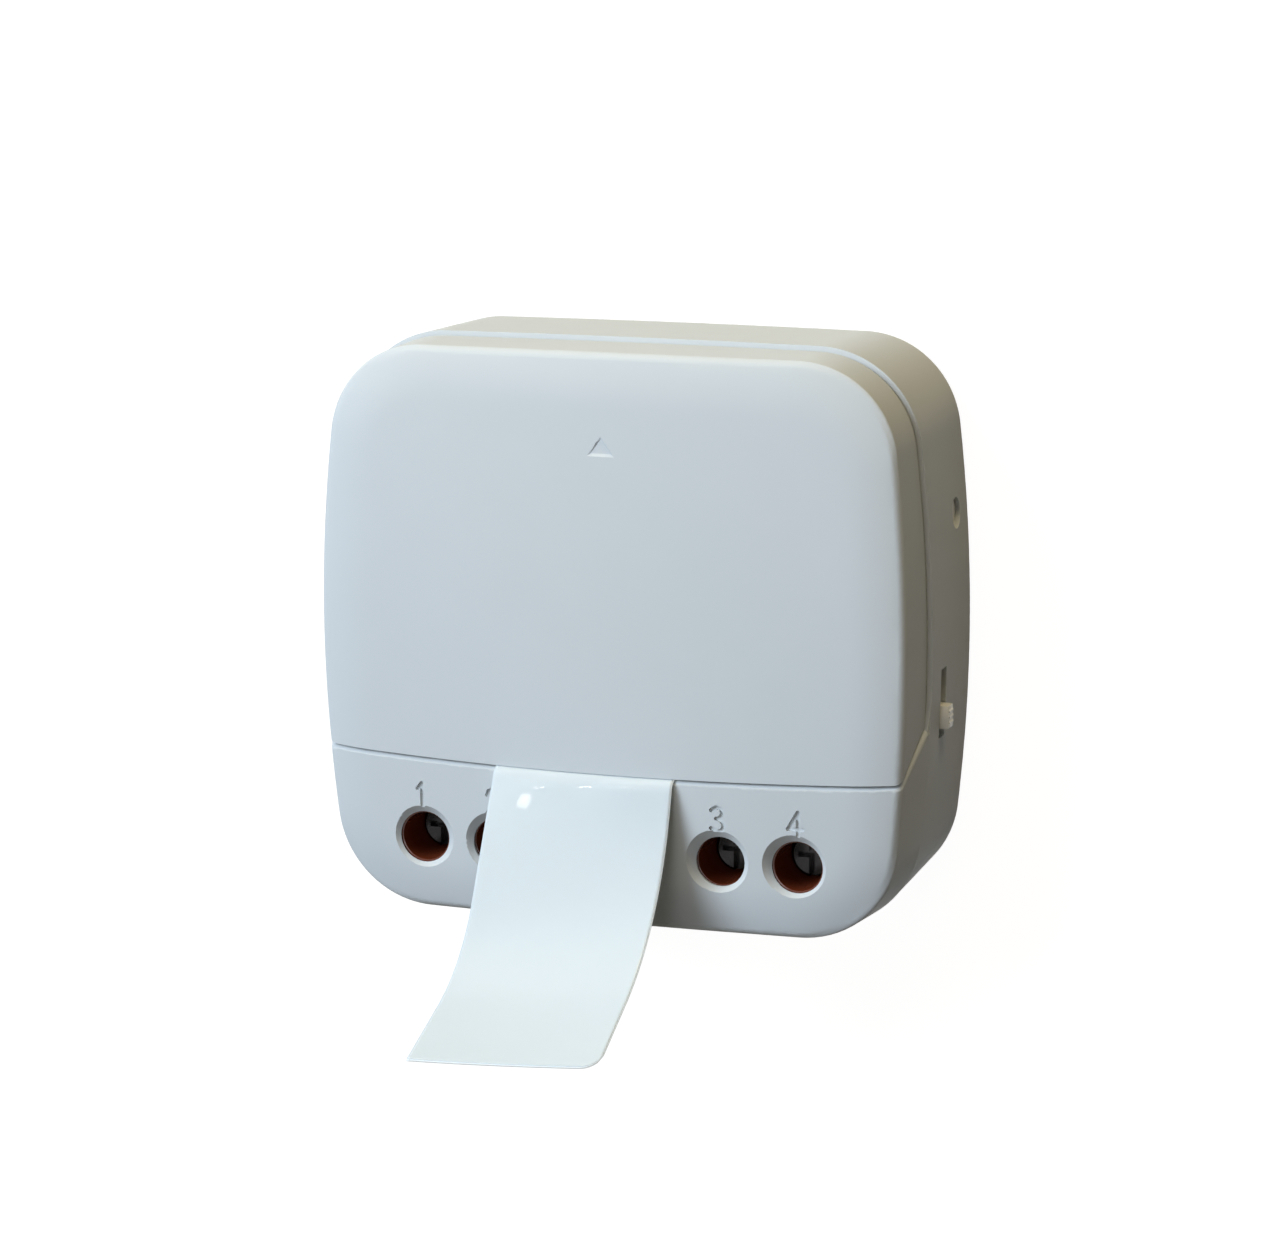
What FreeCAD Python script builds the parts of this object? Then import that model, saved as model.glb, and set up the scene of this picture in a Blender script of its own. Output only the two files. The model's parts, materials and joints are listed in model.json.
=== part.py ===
# Battery-powered switch-input remote module for smart lighting: a pebble-shaped white case with a
# slide-off battery cover, four screw terminals behind round access holes, a mode switch and a
# pairing button in the right-hand wall, and the film tab that keeps the new battery insulated.
#
# Frame: the module lies on its back. X points right and Y up as the front is read, Z points out of
# the front, and the origin is the centre of the flat back. Millimetres and degrees.
import FreeCAD, Part
import math
import os
import re
from types import SimpleNamespace

import Sketcher

Vector = FreeCAD.Vector
doc = FreeCAD.newDocument("switch_remote")

# Driving dimensions: alias, value, meaning
SIZES = [
    ("width", 39.5, "case width at its widest line"),
    ("height", 37.1, "case height at its widest line"),
    ("depth", 15.5, "back face to the plane of the front edge"),
    ("side_arc", 109.0, "radius of the bulging left and right sides"),
    ("end_arc", 1100.0, "radius of the nearly straight top and bottom"),
    ("corner", 6.7, "corner radius of the outline"),
    ("crown_arc", 230.0, "radius of the domed front"),
    ("parting_depth", 4.8, "front edge plane to the parting line"),
    ("ledge", 0.28, "step that the housing shows round the cover"),
    ("front_inset", 0.33, "how much the outline draws in at the front"),
    ("back_inset", 0.39, "how much the outline draws in at the back"),
    ("front_round", 0.5, "rounding of the front edge"),
    ("back_round", 0.6, "rounding of the back edge"),
    ("wall", 1.8, "housing wall"),
    ("rim_wall", 1.2, "housing wall round the back plate"),
    ("cover_wall", 1.2, "battery cover wall"),
    ("plate", 1.2, "back plate thickness"),
    ("plate_gap", 0.1, "clearance round the back plate"),
    ("seam_drop", 8.43, "seam below the middle, on the domed front"),
    ("seam_slope", 0.6, "rise of the seam for each millimetre of depth"),
    ("seam_gap", 0.3, "open seam between cover and terminal strip"),
    ("parting_gap", 0.12, "clearance of the cover over the housing's ledge"),
    ("board_room", 1.5, "room between the circuit board and the battery deck"),
    ("board_thickness", 1.0, "circuit board thickness"),
    ("board_gap", 0.25, "clearance round the circuit board"),
    ("deck_thickness", 0.7, "battery deck thickness"),
    ("cell_diameter", 24.5, "coin cell diameter, IEC size code 2450"),
    ("cell_thickness", 5.0, "coin cell thickness, IEC size code 2450"),
    ("cell_depth", 1.6, "front edge plane to the upper face of the coin cell"),
    ("cell_margin", 0.22, "clearance from the coin cell to the cover's upper wall"),
    ("cell_gap", 0.3, "clearance round the coin cell"),
    ("bay_wall", 1.6, "wall between the battery bay and the terminals"),
    ("bay_gap", 0.3, "clearance of the bay block inside the cover's side walls"),
    ("bay_end_gap", 0.5, "clearance of the bay block inside the cover's upper wall"),
    ("lip_room", 0.35, "room under the strip's overhang"),
    ("lip_reach", 6.0, "how far that room runs up the battery bay"),
    ("contact_space", 0.3, "height of the sprung contact under the cell"),
    ("leaf", 0.2, "thickness of the contact strip"),
    ("leaf_width", 4.0, "width of the contact leaf over the cell"),
    ("contact_gap", 0.2, "clearance beside the contact leaf"),
    ("leg_gap", 0.3, "clearance behind the positive contact's leg"),
    ("leg_slot", 1.0, "length of the slot for the negative contact's leg"),
    ("leg_width", 2.0, "width of the negative contact's leg"),
    ("dimple", 3.0, "diameter of the negative contact's dimple"),
    ("contact_width", 7.0, "width of the negative contact"),
    ("contact_low", 4.0, "negative contact below the cell's centre"),
    ("contact_high", 3.6, "negative contact above the cell's centre"),
    ("bay_side", 3.15, "side of the case to the battery bay block"),
    ("rail_depth", 0.7, "depth of the cover's guide grooves"),
    ("rail_height", 1.0, "height of the guide grooves"),
    ("rail_raise", 1.0, "guide grooves above the parting line"),
    ("rib_start", 0.55, "seam to the lower end of the cover's guide ribs"),
    ("rib_end", 1.5, "end of the bay block to the upper end of the ribs"),
    ("rail_gap", 0.1, "sliding clearance of the cover's ribs"),
    ("film", 0.15, "pull tab film thickness"),
    ("film_width", 11.9, "pull tab width"),
    ("film_offset", 1.26, "pull tab centre left of the middle"),
    ("film_tuck", 14.0, "length of film laid on the cell"),
    ("film_bend", 0.8, "radius of the film's bend from the cell into the seam"),
    ("film_fold", 0.5, "radius of the film's fold over the strip"),
    ("film_clear", 0.12, "height over the strip at which the film folds"),
    ("left_hang", 28.3, "degrees below level at which the film's left edge leaves the fold"),
    ("left_run", 8.3, "straight length of the left edge after the fold"),
    ("left_curl", 11.2, "radius of the left edge's curl"),
    ("left_end", 69.0, "degrees below level at which the left edge ends"),
    ("left_tip", 5.5, "straight length of the left edge at its end"),
    ("right_hang", 15.9, "degrees below level at which the film's right edge leaves the fold"),
    ("right_run", 1.5, "straight length of the right edge after the fold"),
    ("right_curl", 16.4, "radius of the right edge's curl"),
    ("right_end", 62.3, "degrees below level at which the right edge ends"),
    ("right_tip", 5.6, "straight length of the right edge at its end"),
    ("tip_round", 1.2, "rounding of the film's right-hand tip corner"),
    ("pitch", 5.0, "distance between neighbouring terminals"),
    ("inner_terminal", 7.5, "inner terminals from the middle"),
    ("access_hole", 3.2, "diameter of the screw access hole in the case"),
    ("countersink", 4.1, "diameter of the access hole's flared mouth"),
    ("flare", 0.45, "depth of the flared mouth"),
    ("collar", 4.4, "outer diameter of the terminal block's collar"),
    ("collar_gap", 0.15, "clearance round and above the collar"),
    ("collar_depth", 0.45, "front edge plane to the top of the collar"),
    ("block_depth", 1.3, "front edge plane to the top of the terminal block"),
    ("block_space", 0.05, "half the space between two terminal blocks at one pitch"),
    ("block_inset", 0.35, "clearance behind the terminal block"),
    ("block_gap", 0.1, "clearance between terminal block and case"),
    ("corner_room", 0.5, "room for the case's inner corner in front of the terminal block"),
    ("well", 3.1, "bore of the screw well"),
    ("head_gap", 0.07, "radial clearance of the screw head in its well"),
    ("head_height", 1.2, "screw head height"),
    ("head_depth", 4.75, "front edge plane to the screw head's seat"),
    ("head_edge", 0.2, "bevel of the screw head"),
    ("slot_half", 0.28, "half width of the screw's slot"),
    ("cross_half", 0.2, "half width of the screw's shorter cross slot"),
    ("seat", 0.45, "block material under the screw head"),
    ("neck_gap", 0.1, "radial clearance of the screw under its seat"),
    ("thread", 2.5, "screw diameter, M2.5"),
    ("thread_gap", 0.05, "radial clearance of the thread"),
    ("cage_width", 3.8, "clamp cage width"),
    ("cage_height", 3.0, "clamp cage height"),
    ("cage_sheet", 0.4, "clamp cage side thickness"),
    ("cage_plate", 0.5, "clamp cage top and bottom thickness"),
    ("cage_gap", 0.1, "clearance round the clamp cage"),
    ("cage_floor", 0.2, "clamp cage above the circuit board"),
    ("bar_gap", 0.05, "clearance between contact bar and cage top"),
    ("bar_inset", 0.3, "block material behind the contact bar"),
    ("pin_width", 1.2, "width of the contact bar's pin"),
    ("pin_reach", 0.6, "how far the pin stands out under the board"),
    ("pin_hole", 1.4, "width of the pin's hole in the board"),
    ("bar_sheet", 0.35, "contact bar thickness"),
    ("bar_width", 2.6, "contact bar width"),
    ("wire_hole", 2.6, "wire entry diameter"),
    ("digit_height", 1.6, "height of the terminal numerals"),
    ("digit_raise", 2.85, "terminal numerals above the screws"),
    ("stroke", 0.26, "stroke width of the engraved marks"),
    ("engraving", 0.18, "depth of the engraved marks"),
    ("seam_round", 0.3, "rounding of the strip along the seam"),
    ("arrow_raise", 12.5, "arrow mark above the middle"),
    ("arrow_width", 1.65, "width of the arrow mark"),
    ("arrow_height", 1.15, "height of the arrow mark"),
    ("slot_low", 6.45, "lower end of the switch slot below the middle"),
    ("slot_length", 4.45, "length of the switch slot"),
    ("slot_height", 1.4, "height of the switch slot across the wall"),
    ("switch_depth", 8.3, "switch slot behind the front edge plane"),
    ("knob_drop", 5.08, "switch knob at rest below the middle"),
    ("knob_length", 1.5, "switch knob along its travel"),
    ("knob_height", 1.1, "switch knob across its travel"),
    ("knob_stand", 0.6, "how far the knob stands out of the wall"),
    ("switch_length", 6.7, "slide switch body length"),
    ("switch_width", 2.5, "slide switch body width"),
    ("switch_sheet", 0.15, "slide switch cover thickness"),
    ("switch_gap", 0.2, "clearance between the slide switch and the wall"),
    ("switch_mouth", 1.4, "depth of the slide switch's opening"),
    ("stem_width", 1.1, "knob's stem along its travel"),
    ("stem_height", 0.7, "knob's stem across its travel"),
    ("stem_hold", 1.2, "length of the knob's stem inside the switch"),
    ("switch_height", 1.4, "slide switch body height"),
    ("button_raise", 7.2, "pairing button above the middle"),
    ("button_gap", 0.07, "radial clearance of the pairing button"),
    ("button_recess", 0.3, "how far the button sits below the wall's surface"),
    ("flange_thickness", 0.6, "thickness of the pairing button's flange"),
    ("tact_clear", 0.8, "pairing switch above the back plate"),
    ("tact_width", 5.2, "pairing switch width"),
    ("tact_length", 3.0, "pairing switch length along the push"),
    ("plunger_reach", 0.7, "plunger outside its switch"),
    ("plunger_gap", 0.06, "radial clearance of the plunger"),
    ("plunger_room", 1.5, "depth of the plunger's bore"),
    ("plunger_hold", 1.0, "length of the plunger inside its bore"),
    ("flange_gap", 0.06, "clearance between the button's flange and the wall"),
    ("post", 2.5, "board post diameter"),
    ("post_taper", 0.15, "how much slimmer the posts above the board are"),
    ("upper_post_side", 6.25, "side of the case to the upper board posts"),
    ("upper_post_end", 5.35, "top of the case to the upper board posts"),
    ("lower_post_side", 8.75, "side of the case to the lower board posts"),
    ("lower_post_raise", 1.45, "lower board posts above the bay's lower end"),
    ("hook_raise", 0.0, "upper snap hooks above the middle"),
    ("hook_drop", 10.0, "lower snap hooks below the middle"),
    ("hook_arm", 0.8, "thickness of a snap hook"),
    ("hook_width", 1.8, "width of a snap hook"),
    ("hook_bite", 0.3, "how far a snap hook reaches into the wall"),
    ("hook_nub", 0.9, "height of a snap hook's nub"),
    ("hook_gap", 0.2, "clearance of a snap hook"),
    ("shield_width", 12.0, "radio shield width"),
    ("shield_length", 11.0, "radio shield length"),
    ("shield_height", 2.0, "radio shield height"),
    ("shield_sheet", 0.2, "radio shield thickness"),
    ("shield_left", 7.0, "radio shield's left side left of the middle"),
    ("shield_drop", 2.0, "radio shield's lower side below the middle"),
    ("chip_side", 5.0, "radio chip side"),
    ("chip_height", 0.9, "radio chip height"),
    ("chip_left", 4.5, "radio chip's left side left of the middle"),
    ("crystal_width", 2.5, "crystal width"),
    ("crystal_length", 3.2, "crystal length"),
    ("crystal_height", 0.7, "crystal height"),
    ("crystal_place", 1.5, "crystal right of the middle"),
    ("crystal_raise", 1.0, "crystal above the middle"),
    ("antenna_width", 8.0, "antenna width"),
    ("antenna_length", 1.6, "antenna length"),
    ("antenna_height", 1.2, "antenna height"),
    ("antenna_inset", 4.95, "antenna below the top of the case"),
    ("led_width", 1.6, "status lamp width"),
    ("led_length", 0.8, "status lamp length"),
    ("led_inset", 3.35, "status lamp from the wall"),
    ("led_raise", 1.2, "status lamp above the middle"),
    ("capacitor_width", 2.0, "capacitor width"),
    ("capacitor_length", 1.25, "capacitor length"),
    ("capacitor_height", 1.2, "capacitor height"),
    ("capacitor_step", 3.0, "distance between capacitors"),
    ("capacitor_drop", 6.5, "capacitors below the middle"),
    ("resistor_width", 1.0, "resistor width"),
    ("resistor_length", 0.5, "resistor length"),
    ("resistor_height", 0.35, "resistor height"),
    ("resistor_place", 0.7, "resistors above the terminal blocks"),
]

sheet = doc.addObject("Spreadsheet::Sheet", "Sizes")
for row, (alias, number, meaning) in enumerate(SIZES, start=1):
    sheet.set(f"A{row}", meaning)
    sheet.set(f"B{row}", str(number))
    sheet.setAlias(f"B{row}", alias)
doc.recompute()

# Places that follow from the driving dimensions: name and rule
PLACES = [
    ("parting_level", "depth - parting_depth"),
    ("crown_rise", "(width / 2 - front_inset) ^ 2 / (2 * crown_arc)"),
    ("crown_top", "depth + crown_rise"),
    ("rim_level", "plate"),
    ("cell_radius", "cell_diameter / 2"),
    ("cell_raise", "height / 2 - ledge - cover_wall - cell_margin - cell_radius"),
    ("cell_top", "depth - cell_depth"),
    ("cell_bottom", "cell_top - cell_thickness"),
    ("deck_top", "cell_bottom - contact_space"),
    ("deck_level", "deck_top - deck_thickness"),
    ("board_top", "deck_level - board_room"),
    ("board_level", "board_top - board_thickness"),
    ("back_room", "board_level - plate"),
    ("bay_low", "cell_raise - cell_radius - cell_gap"),
    ("bay_high", "height / 2 - ledge - cover_wall - bay_end_gap"),
    ("bay_half", "width / 2 - bay_side"),
    ("rail_level", "parting_level + rail_raise"),
    ("leg_outside", "(cell_radius + cell_gap + bay_half - rail_depth) / 2"),
    ("film_left", "-film_offset - film_width / 2"),
    ("film_right", "-film_offset + film_width / 2"),
    ("leaf_level", "cell_top + film"),
    ("pocket_high", "bay_low - bay_wall"),
    ("pocket_low", "-height / 2 + wall"),
    ("block_back", "pocket_high - block_inset"),
    ("block_front", "pocket_low + corner_room"),
    ("block_length", "block_back - block_front"),
    ("block_half", "pitch - block_space"),
    ("block_middle", "inner_terminal + pitch / 2"),
    ("outer_terminal", "inner_terminal + pitch"),
    ("terminal_drop", "-(block_front + block_back) / 2 + block_length / 15"),
    ("block_top", "depth - block_depth"),
    ("collar_top", "depth - collar_depth"),
    ("head_level", "depth - head_depth"),
    ("chamber_top", "head_level - seat"),
    ("chamber_half", "cage_width / 2 + cage_gap"),
    ("cage_length", "block_length * 0.7"),
    ("cage_bottom", "board_top + cage_floor"),
    ("cage_top", "cage_bottom + cage_height"),
    ("bar_top", "cage_top - cage_plate - bar_gap"),
    ("bar_end", "block_back - bar_inset"),
    ("wire_level", "(cage_bottom + cage_plate + bar_top - bar_sheet) / 2"),
    ("switch_level", "depth - switch_depth"),
    ("inner_half", "width / 2 - wall"),
    ("switch_outer", "inner_half - (slot_low ^ 2) / (2 * side_arc) - switch_gap"),
    ("button_level", "plate + back_room * 11 / 21"),
    ("button_hole", "back_room / 2.1"),
    ("flange", "back_room / 1.4"),
    ("plunger", "back_room * 8 / 21"),
    ("button_inner", "inner_half - (button_raise + flange / 2) ^ 2 / (2 * side_arc) - flange_gap"),
    ("tact_outer", "button_inner - flange_thickness - plunger_reach"),
    ("tact_height", "back_room - tact_clear"),
    ("hook_top", "plate + back_room / 2"),
]

ALIASES = {alias for alias, number, meaning in SIZES}
DERIVED = {name for name, rule in PLACES}


def linked(rule):
    """Point each word of a rule at its cell in the sheet or its place in the document."""
    def owner(match):
        word = match.group(0)
        if word in ALIASES:
            return "Sizes." + word
        return "Places." + word if word in DERIVED else word
    return re.sub(r"[a-z_]+", owner, rule)


places = doc.addObject("App::VarSet", "Places")
for name, rule in PLACES:
    places.addProperty("App::PropertyFloat", name, "Places")
    places.setExpression(name, linked(rule))
doc.recompute()

size = SimpleNamespace(**{alias: float(sheet.get(alias)) for alias, number, meaning in SIZES},
                       **{name: getattr(places, name) for name, rule in PLACES})


# Document objects bound to the sheet
def box(name, x, y, z):
    """Box between the low and high rule of each axis."""
    solid = doc.addObject("Part::Box", name)
    for side, axis, (low, high) in (("Length", "x", x), ("Width", "y", y), ("Height", "z", z)):
        solid.setExpression(side, linked(f"({high}) - ({low})"))
        solid.setExpression(f"Placement.Base.{axis}", linked(low))
    return solid


TURNS = {"z": FreeCAD.Rotation(), "x": FreeCAD.Rotation(Vector(0, 1, 0), 90),
         "y": FreeCAD.Rotation(Vector(1, 0, 0), -90)}


def rod(name, axis, start, radius, length):
    """Cylinder from a start point, given as three rules, along one axis."""
    solid = doc.addObject("Part::Cylinder", name)
    solid.Placement = FreeCAD.Placement(Vector(), TURNS[axis])
    solid.setExpression("Radius", linked(radius))
    solid.setExpression("Height", linked(length))
    for part, rule in zip("xyz", start):
        solid.setExpression(f"Placement.Base.{part}", linked(rule))
    return solid


def join(name, pieces):
    """Several solids as one object."""
    result = doc.addObject("Part::MultiFuse", name)
    result.Shapes = pieces
    return result


def cut(name, base, tools):
    """Base without the tools."""
    result = doc.addObject("Part::Cut", name)
    result.Base = base
    result.Tool = tools[0] if len(tools) == 1 else join(name + "_tools", tools)
    return result


def group(name, pieces):
    """Separate solids that share one node."""
    result = doc.addObject("Part::Compound", name)
    result.Links = pieces
    return result


def shaped(name, shape):
    """Piece whose shape is worked out in this script."""
    piece = doc.addObject("Part::Feature", name)
    piece.Shape = shape
    piece.Placement = FreeCAD.Placement()
    return piece


def sketch_outline(body, name, plane, points):
    """Closed outline on one of the body's planes, each corner held by two bound distances."""
    sketch = body.newObject("Sketcher::SketchObject", name)
    support = next(item for item in body.Origin.OriginFeatures if item.Role == plane)
    sketch.AttachmentSupport = [(support, "")]
    sketch.MapMode = "FlatFace"
    count = len(points)
    rough = [Vector(10 * math.cos(2 * math.pi * i / count), 10 * math.sin(2 * math.pi * i / count), 0)
             for i in range(count)]
    for i in range(count):
        sketch.addGeometry(Part.LineSegment(rough[i], rough[(i + 1) % count]))
    for i in range(count):
        sketch.addConstraint(Sketcher.Constraint("Coincident", i, 2, (i + 1) % count, 1))
    for i, corner in enumerate(points):
        for kind, rule, now in zip(("DistanceX", "DistanceY"), corner, (rough[i].x, rough[i].y)):
            index = sketch.addConstraint(Sketcher.Constraint(kind, -1, 1, i, 1, now))
            sketch.setExpression(f"Constraints[{index}]", linked(rule))
    return sketch


def place_body(body, x, y, z):
    """Bind a body's place to three rules."""
    for part, rule in zip("xyz", (x, y, z)):
        body.setExpression(f"Placement.Base.{part}", linked(rule))


def turned(name, points, place, axis="z"):
    """Body turned about its own axis from an outline of radius and height rules."""
    body = doc.addObject("PartDesign::Body", name)
    sketch = sketch_outline(body, name + "_outline", "XZ_Plane", points)
    turn = body.newObject("PartDesign::Revolution", name + "_turn")
    turn.Profile = sketch
    turn.ReferenceAxis = (sketch, ["V_Axis"])
    turn.Angle = 360
    body.Placement = FreeCAD.Placement(Vector(), TURNS[axis])
    place_body(body, *place)
    return body


def pocketed(body, name, plane, points, length, midplane=True, reverse=False):
    """Pocket in a body from an outline on one of its planes."""
    sketch = sketch_outline(body, name + "_outline", plane, points)
    pocket = body.newObject("PartDesign::Pocket", name)
    pocket.Profile = sketch
    pocket.Midplane = midplane
    pocket.Reversed = reverse
    pocket.setExpression("Length", linked(length))
    return pocket


def rectangle(x_low, x_high, y_low, y_high):
    """Corner rules of a rectangle."""
    return [(x_low, y_low), (x_high, y_low), (x_high, y_high), (x_low, y_high)]


# Case outline: two bulging sides, two nearly straight ends and four round corners, all tangent
def quarter_points(inset, level):
    """Ends and middles of the three arcs in the first quarter of the outline."""
    half_width = size.width / 2 - inset
    half_height = size.height / 2 - inset
    corner = size.corner - inset
    side = Vector(half_width - size.side_arc, 0, level)
    end = Vector(0, half_height - size.end_arc, level)
    to_side = size.side_arc - corner
    to_end = size.end_arc - corner
    apart = (end - side).Length
    along = (to_side ** 2 - to_end ** 2 + apart ** 2) / (2 * apart)
    across = math.sqrt(to_side ** 2 - along ** 2)
    unit = (end - side).normalize()
    normal = Vector(-unit.y, unit.x, 0)
    middle = max((side + unit * along + normal * sign * across for sign in (-1, 1)),
                 key=lambda point: point.x + point.y)

    def on_arc(centre, radius, start, finish, share):
        angle = start + (finish - start) * share
        return centre + Vector(radius * math.cos(angle), radius * math.sin(angle), 0)

    side_angle = math.atan2(middle.y - side.y, middle.x - side.x)
    end_angle = math.atan2(middle.y - end.y, middle.x - end.x)
    return [on_arc(side, size.side_arc, 0, side_angle, 0),
            on_arc(side, size.side_arc, 0, side_angle, 1),
            on_arc(middle, corner, side_angle, end_angle, 0.5),
            on_arc(end, size.end_arc, end_angle, math.pi / 2, 0),
            on_arc(end, size.end_arc, end_angle, math.pi / 2, 1)]


def outline(inset, level):
    """The whole outline as one wire at a height."""
    east, side_end, corner_middle, end_start, north = quarter_points(inset, level)

    def mirrored(point, x_sign, y_sign):
        return Vector(point.x * x_sign, point.y * y_sign, level)

    edges = []
    side_low = mirrored(side_end, 1, -1)
    edges.append(Part.Arc(side_low, east, side_end).toShape())
    edges.append(Part.Arc(side_end, corner_middle, end_start).toShape())
    edges.append(Part.Arc(end_start, north, mirrored(end_start, -1, 1)).toShape())
    edges.append(Part.Arc(mirrored(end_start, -1, 1), mirrored(corner_middle, -1, 1),
                          mirrored(side_end, -1, 1)).toShape())
    edges.append(Part.Arc(mirrored(side_end, -1, 1), mirrored(east, -1, 1),
                          mirrored(side_end, -1, -1)).toShape())
    edges.append(Part.Arc(mirrored(side_end, -1, -1), mirrored(corner_middle, -1, -1),
                          mirrored(end_start, -1, -1)).toShape())
    edges.append(Part.Arc(mirrored(end_start, -1, -1), mirrored(north, 1, -1),
                          mirrored(end_start, 1, -1)).toShape())
    edges.append(Part.Arc(mirrored(end_start, 1, -1), mirrored(corner_middle, 1, -1),
                          side_low).toShape())
    return Part.Wire(edges)


def outline_block(low, high, low_inset, high_inset):
    """Solid between the outline at two heights."""
    return Part.makeLoft([outline(low_inset, low), outline(high_inset, high)], True, True)


def block(x, y, z):
    """Plain box between pairs of numbers."""
    return Part.makeBox(x[1] - x[0], y[1] - y[0], z[1] - z[0], Vector(x[0], y[0], z[0]))


def post_at(x, y, low, high, radius):
    """Upright cylinder between two heights."""
    return Part.makeCylinder(radius, high - low, Vector(x, y, low))


def crown_ball(thickness):
    """Ball whose cap is the domed front, or the inside of it below a wall."""
    radius = size.crown_arc - thickness
    return Part.makeSphere(radius, Vector(0, 0, size.crown_top - size.crown_arc))


def crown_level(x, y):
    """Height of the domed front over a point."""
    return size.crown_top - (x ** 2 + y ** 2) / (2 * size.crown_arc)


def domed_block(low_inset):
    """Front half of the case, domed and with its front edge rounded."""
    spare = 2.0
    slope = (size.front_inset - low_inset) / size.parting_depth
    top_inset = size.front_inset + slope * spare
    raw = outline_block(size.parting_level, size.depth + spare, low_inset, top_inset)
    domed = raw.common(crown_ball(0))
    top_edges = [edge for edge in domed.Edges
                 if edge.BoundBox.ZMin > size.depth - spare and edge.Length > 1]
    return domed.makeFillet(size.front_round, top_edges)


def seam_at(level, offset=0):
    """Y of the sloping seam plane at a height, where the seam meets the dome at seam_drop."""
    surface = crown_level(0, size.seam_drop)
    return offset - size.seam_drop + size.seam_slope * (surface - level)


def beyond_seam(offset):
    """Everything above the sloping seam plane, moved up by an offset."""
    reach = size.width
    top = size.crown_top + 5
    bottom = size.parting_level - 5
    corners = [Vector(-reach, seam_at(bottom, offset), bottom), Vector(-reach, reach, bottom),
               Vector(-reach, reach, top), Vector(-reach, seam_at(top, offset), top)]
    face = Part.Face(Part.makePolygon(corners + corners[:1]))
    return face.extrude(Vector(2 * reach, 0, 0))


# Marks: an arrow on the cover and a plain numeral over each terminal
DIGITS = {
    "1": [[(-0.32, 0.52), (0.05, 1.0), (0.05, -1.0)]],
    "2": [[(-0.5, 0.5), (-0.38, 0.84), (0.0, 1.0), (0.4, 0.84), (0.5, 0.48), (0.3, 0.05),
           (-0.52, -1.0), (0.55, -1.0)]],
    "3": [[(-0.48, 0.72), (-0.1, 1.0), (0.32, 0.86), (0.42, 0.48), (0.2, 0.14), (-0.1, 0.06)],
          [(-0.1, 0.06), (0.3, -0.06), (0.52, -0.46), (0.38, -0.86), (-0.06, -1.0),
           (-0.52, -0.72)]],
    "4": [[(0.24, -1.0), (0.24, 1.0), (-0.56, -0.38), (0.6, -0.38)]],
}


def stroke_solid(points, bottom, top):
    """A drawn stroke with round ends, as one solid."""
    half = size.stroke / 2
    pieces = [post_at(x, y, bottom, top, half) for x, y in points]
    for (x0, y0), (x1, y1) in zip(points, points[1:]):
        length = math.hypot(x1 - x0, y1 - y0)
        bar = block((0, length), (-half, half), (bottom, top))
        bar.Placement = FreeCAD.Placement(Vector(x0, y0, 0),
                                          FreeCAD.Rotation(Vector(0, 0, 1),
                                                           math.degrees(math.atan2(y1 - y0, x1 - x0))))
        pieces.append(bar)
    return pieces[0].fuse(pieces[1:])


def numeral(text, x, y):
    """Cutting tool for one numeral in the domed front."""
    scale = size.digit_height / 2
    bottom = crown_level(x, y) - size.engraving
    strokes = [stroke_solid([(x + px * scale, y + py * scale) for px, py in points],
                            bottom, bottom + 1)
               for points in DIGITS[text]]
    return strokes[0] if len(strokes) == 1 else strokes[0].fuse(strokes[1:])


def arrow_mark():
    """Cutting tool for the small triangle that points the way the cover slides."""
    half = size.arrow_width / 2
    low = size.arrow_raise - size.arrow_height / 2
    bottom = crown_level(0, size.arrow_raise) - size.engraving
    corners = [Vector(-half, low, bottom), Vector(half, low, bottom),
               Vector(0, low + size.arrow_height, bottom)]
    return Part.Face(Part.makePolygon(corners + corners[:1])).extrude(Vector(0, 0, 1))


TERMINAL_X = [-size.outer_terminal, -size.inner_terminal, size.inner_terminal, size.outer_terminal]
UPPER_POST = (size.width / 2 - size.upper_post_side, size.height / 2 - size.upper_post_end)
LOWER_POST = (size.width / 2 - size.lower_post_side, size.bay_low + size.lower_post_raise)
POST_PLACES = [(side * x, y) for x, y in (UPPER_POST, LOWER_POST) for side in (-1, 1)]
HOOK_PLACES = [(side, y) for side in (-1, 1) for y in (-size.hook_drop, size.hook_raise)]


# Housing: outer shell, battery deck and bay, terminal strip
def housing_shape():
    shell = outline_block(0, size.parting_level, size.back_inset, 0)
    back_edges = [edge for edge in shell.Edges if edge.BoundBox.ZMax < 0.01]
    shell = shell.makeFillet(size.back_round, back_edges)
    strip = strip_shape()
    bay = block((-size.bay_half, size.bay_half), (size.pocket_high, size.bay_high),
                (size.parting_level, size.cell_top))
    bay = bay.common(outline_block(size.parting_level, size.cell_top,
                                   size.ledge + size.cover_wall + size.bay_gap,
                                   size.front_inset + size.cover_wall + size.bay_gap))
    solid = shell.fuse([strip, bay])
    removed = housing_hollows() + housing_openings()
    solid = solid.cut(removed)
    for x, y in POST_PLACES:
        solid = solid.fuse(post_at(x, y, size.board_top, size.deck_level,
                                   size.post / 2 - size.post_taper))
    return solid.removeSplitter()


def strip_shape():
    """Terminal strip below the seam, with its upper front edge rounded."""
    strip = domed_block(0).cut(beyond_seam(-size.seam_gap / 2))
    seam_edges = []
    for edge in strip.Edges:
        points = edge.discretize(5)
        on_seam = all(abs(point.y - seam_at(point.z, -size.seam_gap / 2)) < 0.001 for point in points)
        if on_seam and min(point.z for point in points) > size.depth - 0.6:
            seam_edges.append(edge)
    return strip.makeFillet(size.seam_round, seam_edges)


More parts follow.
